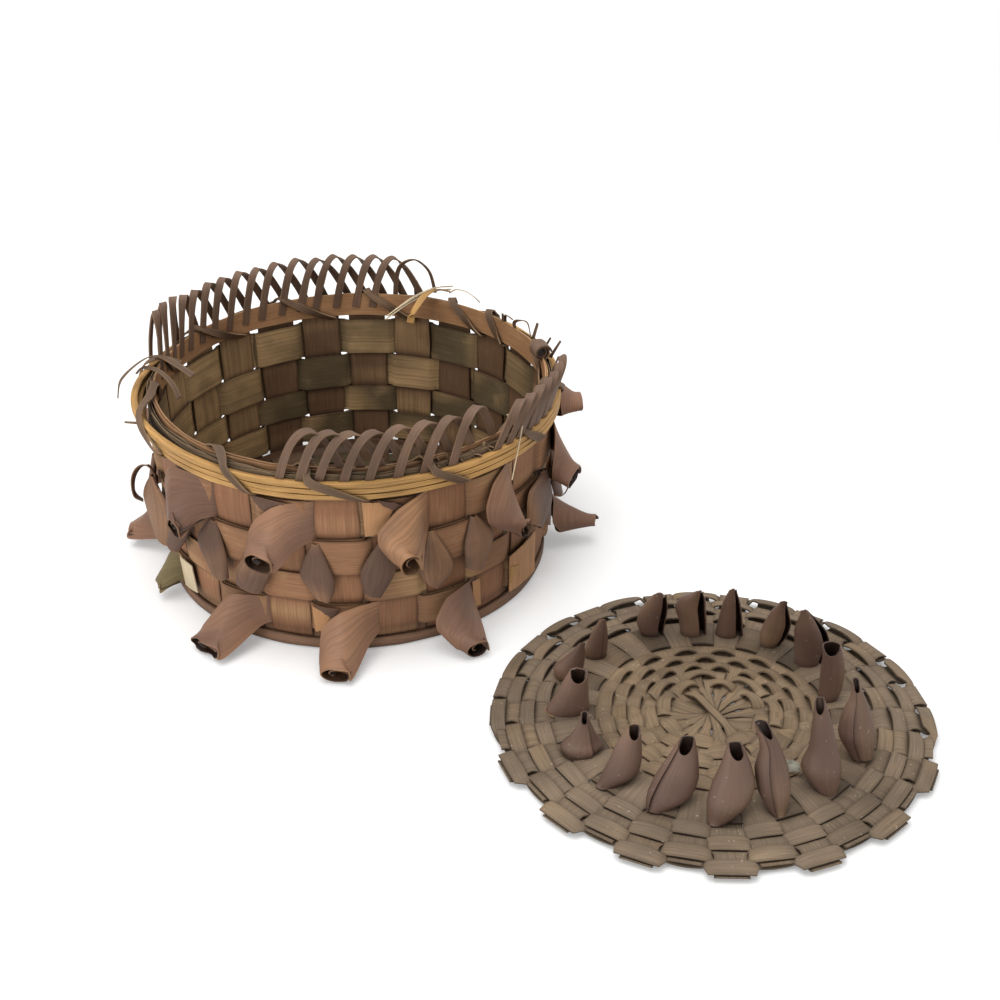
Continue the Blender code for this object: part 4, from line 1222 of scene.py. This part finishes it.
class BASKET_OT_lid(bpy.types.Operator):
    """Model the lid's spokes, rounds and band"""

    bl_idname = "basket.lid"
    bl_label = "Lid weave"

    def execute(self, context):
        material = finish(context, "lid", 0.0, None, roughness=0.78, grain=1.1, blotch=55.0, worn_edge=0.0,
                          dark_edge=0.5, specks=0.5, hollows=0.45)
        for splint in range(8):
            node = "lid_splint_%d" % (splint + 1)
            sheets = [self.spoke(spoke, splint)
                      for spoke in (2 * splint, 2 * splint + 1, 2 * splint + 16, 2 * splint + 17)]
            make_piece(node + "_wood", sheets, LID_THICKNESS, "lid", [node], material)
        for name, starts, first, width, tilt in (("lid_weaver_%d", INNER_ROUNDS, 0, 0.0068, 2.8),
                                                 ("lid_edge_weaver_%d", EDGE_ROUNDS, BAND + 1, 0.0070, 2.4)):
            for index, start in enumerate(starts):
                node = name % (index + 1)
                sheet = self.woven_round(first + index, start, width, tilt)
                make_piece(node + "_wood", [sheet], LID_THICKNESS, "lid", [node], material,
                           weld=True)
        band = self.woven_round(BAND, LID_BAND[0], LID_BAND[1] - LID_BAND[0], 1.0)
        make_piece("lid_curl_band_strip", [band], LID_THICKNESS, "lid", ["lid_curl_band"],
                   material, weld=True)
        return {"FINISHED"}

    def spoke(self, spoke, splint):
        """One spoke from the middle to the edge, waving over and under the rounds."""
        angle = LID_STEP * spoke
        side = 1 if spoke % 2 else -1
        arm = angle - LID_STEP / 2 * side
        rank = (splint + 2) % 8
        hub = lid_height(0) + 0.0007 * (rank - 3.5)
        reach = LID_RADIUS + wander(spoke, 1, 5, 0.0010)
        if lid_sign(LAST_ROUND, spoke) < 0:
            reach -= drawn_in(angle)

        def lift(radius):
            total = 0.0
            for index, start in enumerate(ALL_ROUNDS):
                share = (radius - start) / (0.0196 if index == BAND else 0.0066)
                if -0.15 < share < 1.15:
                    sign = lid_sign(index, spoke)
                    # the inner rounds rise over a spoke, which hardly dips under them
                    if index < BAND and sign > 0:
                        sign = 0.25
                    total -= sign * math.sin(math.pi * (share + 0.15) / 1.3)
            return total

        def cut(across):
            return across if side > 0 else 1 - across

        def place(along, across):
            radius = reach * along
            forward, left = directions(arm + LID_TURN)
            sector = radius * math.tan(math.radians(LID_STEP))
            sector *= 0.48 + 0.56 * ease((radius - 0.008) / 0.012)
            inner = max(0.0022, min(sector + (0.0065 if rank < 2 else 0.0002), 0.0095))
            early = forward * radius + left * side * inner * cut(across)
            forward, left = directions(angle + LID_TURN)
            fill = 1.1 - 0.1 * ease((radius - 0.054) / 0.006) - 0.27 * ease((radius - 0.092) / 0.006)
            half = min(0.5 * fill * radius * math.radians(LID_STEP), 0.0086)
            half += wander(radius * 70, spoke, 2.0, 0.0004)
            late = forward * radius + left * (2 * across - 1) * half
            spot = early.lerp(late, ease((radius - 0.026) / 0.014))
            level = hub + (lid_height(radius) - hub) * ease((radius - 0.010) / 0.012)
            level += LID_WAVE * lift(radius) * ease((radius - 0.016) / 0.006)
            return Vector((spot.x, spot.y, level)) + LID_MIDDLE

        def marks(along, across):
            pale = max(0.0, 0.25 * ripple(along * 4.0, spoke * 1.7, 7.0))
            pale += 0.16 * ease((0.062 - reach * along) / 0.008)
            dark = max(0.0, 0.5 * ripple(along * 3.0, spoke * 2.7, 17.0))
            # painted shade on one side of each spoke near the hub, for the dark gaps between the arms
            dark += 0.7 * ease((cut(across) - 0.5) / 0.5) * ease((0.024 - reach * along) / 0.006)
            return pale, dark

        return lay_sheet(100, 4, place, (LID_RADIUS, 0.015), 301.0 + spoke, marks)

    def woven_round(self, index, start, width, tilt):
        """One round in plain weave, its inner edge raised where it passes over.

        The first two rounds go over and under whole arms, the others over and under spokes.
        """
        step, shift = (2 * LID_STEP, LID_STEP / 2) if index < 2 else (LID_STEP, 0.0)
        cross, power = (0.68, 0.6) if index < BAND else (0.56, 0.4)

        def place(along, across):
            angle = 360 * (along % 1.0)
            station = (angle - shift) / step
            spoke = round(station)
            off = abs(station - spoke)
            off = off if lid_sign(index, spoke) > 0 else 1 - off
            turned = 0.5 * off / cross if off < cross else 0.5 + 0.5 * (off - cross) / (1 - cross)
            share = shaped(math.cos(math.pi * turned), power)
            radius = start + width * across + wander_round(angle, 4, index + 40, 0.0005)
            if index == LAST_ROUND:
                radius -= drawn_in(angle) * ease(-2.2 * share)
            if index > LAST_ROUND - 2:
                parting = max(peak(angle / LID_STEP - gap, 0.22) for gap in LID_GAPS)
                radius += parting * (0.0034 * (1 - across) if index == LAST_ROUND else -0.0016 * across)
            rise = 1.1 + (1 - across) * (tilt - 1.0) * 1.1 if share > 0 else 1.0
            return lid_polar(angle, radius, max(lid_height(radius) + LID_WAVE * share * rise, 0.0006))

        def marks(along, across):
            pale = max(0.0, 0.3 * ripple(along * 17.0, index * 1.7, 3.0)) + (0.16 if index < BAND else 0.0)
            dark = max(0.0, 0.5 * ripple(along * 13.0, index * 2.7, 17.0)) + (0.45 if index == BAND else 0.0)
            return pale, dark

        return lay_sheet(32 * 10, 3, place, (2 * math.pi * start, width), 341.0 + index, marks)


# Each curl of the lid, in millimetres from the lid's middle: how far back its foot lies, how far it leans
# back, and its left side, right side and height from the top down.
LID_CURLS = (
    (66.4, -9, (-25.4, -19.1, 31.2), (-29.9, -17.7, 24.0), (-32.0, -17.6, 18.7), (-32.5, -18.1, 11.9),
     (-28.9, -18.5, 4.0)),
    (66.4, -9, (-2.6, -1.0, 33.5), (-11.1, 1.4, 28.4), (-13.6, 2.2, 23.1), (-10.7, 3.5, 14.8),
     (-8.8, 4.5, 4.0)),
    (65.9, -9, (13.5, 16.2, 35.0), (11.1, 19.1, 27.8), (9.9, 21.4, 18.1), (9.2, 22.8, 10.3),
     (8.8, 23.8, 4.2)),
    (56.1, -8, (38.4, 40.5, 34.1), (34.4, 42.8, 27.8), (31.9, 45.1, 20.1), (30.2, 44.3, 12.4),
     (32.3, 39.5, 4.3)),
    (39.9, -5, (46.2, 48.5, 39.7), (45.2, 54.6, 33.5), (44.3, 59.9, 26.5), (45.2, 62.9, 18.4),
     (47.0, 59.8, 5.4)),
    (11.1, -2, (52.4, 61.7, 38.9), (53.2, 64.3, 31.1), (53.3, 65.7, 21.8), (53.7, 65.3, 12.4),
     (54.0, 62.4, 4.3)),
    (-35.0, 10, (60.1, 62.2, 51.3), (59.2, 66.2, 40.9), (55.8, 70.1, 31.1), (54.7, 72.8, 20.2),
     (61.1, 72.1, 7.8)),
    (-57.8, 14, (38.8, 42.8, 57.4), (38.0, 46.6, 45.0), (36.9, 50.0, 30.1), (33.2, 52.7, 18.5),
     (42.5, 50.7, 5.6)),
    (-72.7, 15, (9.5, 15.8, 55.3), (12.8, 21.7, 42.5), (10.5, 26.2, 30.3), (12.4, 27.6, 17.9),
     (19.6, 24.5, 3.9)),
    (-78.1, 14, (-2.5, 3.7, 47.8), (-5.4, 7.9, 36.7), (-9.3, 10.4, 26.2), (-11.7, 8.1, 16.4),
     (-10.6, -4.4, 3.8)),
    (-69.3, 12, (-22.6, -16.3, 44.0), (-27.8, -14.0, 32.7), (-33.3, -13.2, 22.1), (-37.0, -16.5, 12.7),
     (-37.3, -31.0, 4.0)),
    (-53.2, 8, (-45.3, -40.0, 38.9), (-50.4, -39.0, 28.9), (-53.5, -38.6, 20.0), (-56.7, -40.6, 12.3),
     (-59.6, -53.6, 4.3)),
    (-30.6, 3, (-64.9, -63.2, 29.4), (-68.0, -59.8, 21.2), (-71.4, -56.7, 13.9), (-75.3, -54.0, 9.4),
     (-73.4, -61.0, 4.6)),
    (1.5, 0, (-70.2, -61.7, 30.0), (-74.1, -61.0, 21.7), (-77.6, -60.5, 13.3), (-81.3, -59.8, 7.1),
     (-82.7, -61.7, 4.1)),
    (30.1, -4, (-63.6, -62.1, 26.8), (-67.8, -61.1, 21.2), (-72.3, -60.7, 16.0), (-76.8, -61.0, 10.8),
     (-75.9, -62.7, 4.2)),
    (47.1, -6, (-53.6, -50.5, 29.0), (-55.9, -49.4, 23.7), (-57.9, -48.6, 17.9), (-59.8, -48.3, 10.2),
     (-59.6, -49.0, 4.0)),
)
# Where the outer edge of each roll lies, in degrees: 0 on the right, 90 towards the basket's front. The first
# rolls, at the lid's far side, don't close: they stand open at their right.
LID_CURL_EDGES = (52, 58, 60, 52, 40, 40, 110, -40, 105, -40, 150, -40, 65, -40, 45, 70)
OPEN_ROLLS = 5
# The rolls whose foot is worn pale.
WORN_FEET = (12, 13, 14)
# The levels of the rolls were measured along a line of sight that looks down by this angle.
SIGHT_ANGLE = 30.8


class BASKET_OT_lid_curls(bpy.types.Operator):
    """Model the 16 curled points that stand on the lid"""

    bl_idname = "basket.lid_curls"
    bl_label = "Lid curls"

    def execute(self, context):
        material = finish(context, "lid_curl", 0.0, "hollow", roughness=0.46, grain=0.5, blotch=38.0,
                          worn_edge=0.0, specks=0.35)
        sheets = [self.curl(index, *shape) for index, shape in enumerate(LID_CURLS)]
        make_piece("lid_curl_band_points", sheets, 0.0007, "lid", ["lid_curl_band"],
                   material, hollow=True)
        return {"FINISHED"}

    def curl(self, index, back, lean, *levels):
        """A standing roll between its two sides, its top open; its end laps over unless it stands open."""
        seed = 401.0 + index
        start = LID_CURL_EDGES[index]
        opened = index < OPEN_ROLLS
        far = back > 25
        tilt = math.tan(math.radians(SIGHT_ANGLE))
        worn_foot = 0.7 if index in WORN_FEET else 0.0
        aside = wander(seed * 0.7, 2, 9, 0.9)

        def place(along, across):
            swing = math.radians(start + (325 if opened else 425) * along)
            front = max(0.0, math.sin(swing + aside) * (-1 if far else 1)) ** 1.4
            height_share = across * (1 - 0.15 * front)
            left, right, level = bent(levels, 1 - height_share, 0.6)
            half = max((right - left) / 2, 1.6)
            deep = min(max(half * 0.72, 2.0), 7.0)
            roll = 0.84 + 0.20 * along if opened else 1 - 0.16 * along
            rise = lean * height_share
            side = (left + right) / 2 + half * roll * math.cos(swing)
            depth = back + 0.4 * deep - deep * roll * math.sin(swing) + rise
            height = level - rise * tilt
            if far:
                height += max(0.0, math.sin(swing)) * (0.6 * deep + 0.45 * half) * across ** 4
            height = max(height, 5.6) + wander(along * 5, across * 2, seed, 0.5)
            return LID_MIDDLE + Vector((side, depth, height)) / 1000

        def marks(along, across):
            cloud = ripple(along * 2.0, across * 1.2, seed * 2.3)
            pale = max(0.0, 0.3 * cloud) + worn_foot * peak(across, 0.12)
            # painted shade along the lapped end of a closed roll
            dark = 0.0 if opened else 0.7 * ease((along - 0.80) / 0.06)
            return min(pale, 0.7), max(dark, max(0.0, -0.5 * cloud))

        return lay_sheet(44, 14, place, (0.07, 0.040), seed, marks, turned=True)


# Broken ends

# Loose splints: finish, width and the points that they follow, in metres.
LOOSE = (
    ("leaf", 0.0100, ((-0.1049, -0.0340, 0.0603), (-0.1088, -0.0340, 0.0692), (-0.1142, -0.0340, 0.0684),
                      (-0.1181, -0.0340, 0.0614), (-0.1187, -0.0340, 0.0519), (-0.1145, -0.0340, 0.0477))),
    ("leaf", 0.0040, ((0.1114, -0.0280, 0.0589), (0.1156, -0.0280, 0.0604), (0.1186, -0.0280, 0.0562),
                      (0.1180, -0.0280, 0.0505), (0.1150, -0.0280, 0.0469), (0.1113, -0.0280, 0.0473))),
    ("lashing", 0.0036, ((-0.0863, -0.0030, 0.1085), (-0.0946, 0.0017, 0.1120), (-0.1028, 0.0055, 0.1150),
                         (-0.1094, 0.0043, 0.1165), (-0.1148, -0.0036, 0.1165), (-0.1198, -0.0142, 0.1150),
                         (-0.1230, -0.0177, 0.1110), (-0.1246, -0.0190, 0.1030))),
    ("lashing", 0.0030, ((-0.0910, -0.0209, 0.1040), (-0.0968, -0.0118, 0.1090), (-0.1043, -0.0063, 0.1130),
                         (-0.1129, -0.0024, 0.1130), (-0.1163, -0.0061, 0.1110))),
    ("lashing", 0.0026, ((-0.0944, 0.0077, 0.1110), (-0.0984, 0.0086, 0.1125), (-0.1034, 0.0085, 0.1140),
                         (-0.1083, 0.0065, 0.1140))),
    ("straw", 0.0034, ((0.0520, 0.1000, 0.1150), (0.0449, 0.0985, 0.1150), (0.0391, 0.0950, 0.1148),
                       (0.0326, 0.0897, 0.1140), (0.0250, 0.0833, 0.1120), (0.0140, 0.0751, 0.1065))),
    ("straw", 0.0030, ((0.0530, 0.1010, 0.1165), (0.0450, 0.0998, 0.1165), (0.0392, 0.0958, 0.1165),
                       (0.0317, 0.0896, 0.1155), (0.0242, 0.0826, 0.1132), (0.0148, 0.0766, 0.1082))),
    ("strip", 0.0046, ((0.0510, 0.0990, 0.1140), (0.0431, 0.0974, 0.1160), (0.0370, 0.0898, 0.1158),
                       (0.0330, 0.0807, 0.1135), (0.0300, 0.0756, 0.1100), (0.0283, 0.0736, 0.1050))),
    ("loop", 0.0034, ((0.0310, 0.1095, 0.1060), (0.0306, 0.1088, 0.1120), (0.0305, 0.1075, 0.1175))),
    ("straw", 0.0006, ((0.0510, 0.0979, 0.1135), (0.0551, 0.0947, 0.1170), (0.0612, 0.0871, 0.1190),
                       (0.0661, 0.0837, 0.1170), (0.0695, 0.0848, 0.1130))),
    ("loop", 0.0030, ((0.0179, 0.1080, 0.1060), (0.0191, 0.1053, 0.1200), (0.0226, 0.1017, 0.1300),
                      (0.0298, 0.0986, 0.1345), (0.0356, 0.0996, 0.1310), (0.0398, 0.1013, 0.1240),
                      (0.0423, 0.1020, 0.1120))),
    ("loop", 0.0024, ((0.0906, 0.0588, 0.1060), (0.0895, 0.0559, 0.1130), (0.0922, 0.0517, 0.1165),
                      (0.0969, 0.0495, 0.1160), (0.0988, 0.0470, 0.1090))),
    ("loop", 0.0020, ((0.0843, 0.0683, 0.1070), (0.0847, 0.0654, 0.1135), (0.0885, 0.0607, 0.1130))),
    ("loop", 0.0022, ((0.1000, 0.0460, 0.1070), (0.1027, 0.0444, 0.1180))),
    ("loop", 0.0018, ((0.1094, 0.0228, 0.1070), (0.1149, 0.0207, 0.1180))),
    ("loop", 0.0016, ((0.1061, 0.0336, 0.1070), (0.1097, 0.0293, 0.1160))),
    ("loop", 0.0018, ((0.0832, 0.0673, 0.1070), (0.0828, 0.0644, 0.1150))),
    ("straw", 0.0006, ((0.0850, -0.0407, 0.1040), (0.0930, -0.0560, 0.1120), (0.0925, -0.0690, 0.1110),
                       (0.0874, -0.0785, 0.0863))),
    ("lashing", 0.0016, ((-0.1080, -0.0480, 0.1030), (-0.1149, -0.0488, 0.1040))),
)
# The way from the eye to the two strips that hang in a loop, which are seen on their edge.
SIGHT_LINE = Vector((0, 0.86, -0.51))
# Colours of the palest straw and of the flake on the lid, and how many crumbs lie on the rim.
PALE_STRAW = tone(226, 206, 172)
FLAKE_GREY = tone(196, 193, 176)
CRUMBS = 46
# Torn places of the wall: finish, how far it stands out in metres, and its corners as angle and height in mm.
TORN = (
    ("tan", 0.0036, ((321.5, 33.0), (335.3, 36.0), (335.8, 9.0), (321.8, 10.0))),
    ("strip", 0.0042, ((321.6, 26.6), (325.8, 24.3), (322.1, 16.2), (321.6, 18.0))),
    ("straw", 0.0034, ((214.0, 29.0), (221.0, 30.0), (222.4, 13.4), (215.4, 12.0))),
    ("tan", 0.0031, ((276.8, 92.5), (285.6, 90.0), (281.5, 73.0), (277.2, 72.0))),
    ("tan", 0.0031, ((262.0, 29.4), (267.0, 23.0), (264.0, 13.4), (262.4, 13.0))),
    ("tan", 0.0031, ((307.4, 29.6), (310.0, 29.6), (310.4, 12.6), (308.0, 12.8))),
    ("leaf", 0.0040, ((247.5, 92.8), (257.5, 91.0), (252.4, 83.0), (250.0, 86.0))),
    ("leaf", 0.0040, ((280.7, 93.4), (288.4, 88.1), (285.5, 85.3), (282.0, 90.0))),
    ("leaf", 0.0040, ((262.6, 30.0), (269.3, 28.2), (267.2, 22.1), (264.5, 27.0))),
)


class BASKET_OT_loose_ends(bpy.types.Operator):
    """Model the broken and loose splints, the coil and the crumbs on the rim"""

    bl_idname = "basket.loose_ends"
    bl_label = "Broken ends"

    def execute(self, context):
        straw = splint_material("wood_pale_straw", PALE_STRAW, PALE_STRAW, PALE_STRAW, 0.2)
        groups = {}
        for index, (key, width, points) in enumerate(LOOSE):
            faces = [self.flat_of(points, step, key == "leaf") for step in range(len(points))]
            taper = 0.1 if width > 0.003 and key in ("straw", "strip") else 0.35
            sheet = lay_ribbon(points, faces, width, 8 * len(points), 2, 501.0 + index, taper)
            groups.setdefault(key, []).append(sheet)
        for index, (key, out, corners) in enumerate(TORN):
            groups.setdefault(key, []).append(self.torn(corners, out, 561.0 + index))
        groups["loop"].append(self.coil())
        for number in range(CRUMBS):
            groups["lashing"].append(self.crumb(number))
        chip = lay_sheet(6, 4, self.chip_place, (0.005, 0.003), 601.0)
        flake = splint_material("wood_flake", FLAKE_GREY, FLAKE_GREY, FLAKE_GREY)
        make_piece("lid_chip", [chip], 0.0004, "lid", [], flake, inward=False)
        for key, sheets in groups.items():
            material = straw if key == "straw" else finish(context, key)
            make_piece("loose_ends_" + key, sheets, 0.0006, "basket", [], material,
                       inward=False)
        return {"FINISHED"}

    def flat_of(self, points, step, hanging):
        """Where a loose splint's flat faces at a point of it: up and out, or across the line of sight."""
        if hanging:
            ahead = Vector(points[min(step + 1, len(points) - 1)]) - Vector(points[max(step - 1, 0)])
            return ahead.normalized().cross(SIGHT_LINE)
        out = Vector((points[step][0], points[step][1], 0)).normalized()
        return out * 0.55 + Vector((0, 0, 0.85))

    def chip_place(self, along, across):
        """A small pale flake that lies on the lid's inner rounds, near the front."""
        side = 0.0062 * (along - 0.5)
        up = 0.0066 * (across - 0.5) * (1 - 0.4 * along)
        crumple = wander(along * 3, across * 2, 4, 0.0012)
        return Vector((0.2170 + side, -0.2134 + 0.5 * up + crumple, 0.0112 + 0.85 * up - 0.2 * side))

    def torn(self, corners, out, seed):
        """A flat piece on the wall between four corners, given as angle and height."""
        one, two, three, four = [Vector(corner) for corner in corners]

        def place(along, across):
            spot = one.lerp(two, along).lerp(four.lerp(three, along), across)
            spot.y += wander(along * 5, across * 5, seed, 0.6)
            return polar(spot.x, wall_radius(spot.y / 1000) + out, spot.y / 1000)

        return lay_sheet(10, 10, place, (0.02, 0.02), seed, turned=True)

    def coil(self):
        """A rolled end of splint that lies on the rim at the right."""
        middle = Vector((0.1040, 0.0190, 0.1128))
        ahead = Vector((-0.35, 0.90, 0.05)).normalized()
        up = Vector((0, 0, 1))
        side = ahead.cross(up).normalized()

        def place(along, across):
            swing = 2 * math.pi * 2.4 * along
            radius = 0.0052 - 0.0030 * along
            spot = middle + radius * (math.cos(swing) * side + math.sin(swing) * up)
            return spot + ahead * (0.0085 * (across - 0.5) + 0.003 * along)

        return lay_sheet(48, 4, place, (0.06, 0.0085), 531.0)

    def crumb(self, number):
        """One small broken bit of the filler."""
        angle = 296 + 20 * (number / CRUMBS) + wander(number, 1, 2, 3.0)
        start = polar(angle, 0.1085 + wander(number * 1.7, 3, 2, 0.0030),
                      0.1052 + wander(number * 2.3, 5, 2, 0.0022))
        turn = Vector([wander(number * pace, offset, 1, 1)
                       for pace, offset in ((3.1, 0), (2.7, 4), (1.9, 8))])
        turn = (turn + Vector((0.01, 0, 0))).normalized()
        points = [start, start + turn * 0.0022 + Vector((0, 0, 0.0004)), start + turn * 0.0040]
        return lay_ribbon(points, [turn.orthogonal()] * 3, 0.0018, 4, 1, 541.0 + number)


# Registering and running

CLASSES = (BasketSizes, BasketColours, BASKET_OT_stage, BASKET_OT_uprights, BASKET_OT_weavers,
           BASKET_OT_curls, BASKET_OT_leaves, BASKET_OT_hoops, BASKET_OT_lashing, BASKET_OT_loops,
           BASKET_OT_lid, BASKET_OT_lid_curls, BASKET_OT_loose_ends)


class BASKET_PT_panel(bpy.types.Panel):
    """Lists the steps that model the basket"""

    bl_idname = "BASKET_PT_panel"
    bl_label = "Splint basket"
    bl_space_type = "VIEW_3D"
    bl_region_type = "UI"
    bl_category = "Basket"

    def draw(self, context):
        column = self.layout.column()
        for part in CLASSES:
            if issubclass(part, bpy.types.Operator):
                column.operator(part.bl_idname)
        for group in (context.scene.basket_sizes, context.scene.basket_colours):
            for key in group.bl_rna.properties.keys():
                if key not in ("rna_type", "name"):
                    column.prop(group, key)


def register():
    """Register the classes and hang the settings on the scene."""
    for part in CLASSES + (BASKET_PT_panel,):
        bpy.utils.register_class(part)
    bpy.types.Scene.basket_sizes = bpy.props.PointerProperty(type=BasketSizes)
    bpy.types.Scene.basket_colours = bpy.props.PointerProperty(type=BasketColours)


def unregister():
    """Take the settings and the classes away again."""
    del bpy.types.Scene.basket_sizes
    del bpy.types.Scene.basket_colours
    for part in reversed(CLASSES + (BASKET_PT_panel,)):
        bpy.utils.unregister_class(part)


def main():
    """Model everything in order."""
    register()
    bpy.ops.basket.stage()
    bpy.ops.basket.uprights()
    bpy.ops.basket.weavers()
    bpy.ops.basket.curls()
    bpy.ops.basket.leaves()
    bpy.ops.basket.hoops()
    bpy.ops.basket.lashing()
    bpy.ops.basket.loops()
    bpy.ops.basket.lid()
    bpy.ops.basket.lid_curls()
    bpy.ops.basket.loose_ends()


if __name__ == "__main__":
    main()
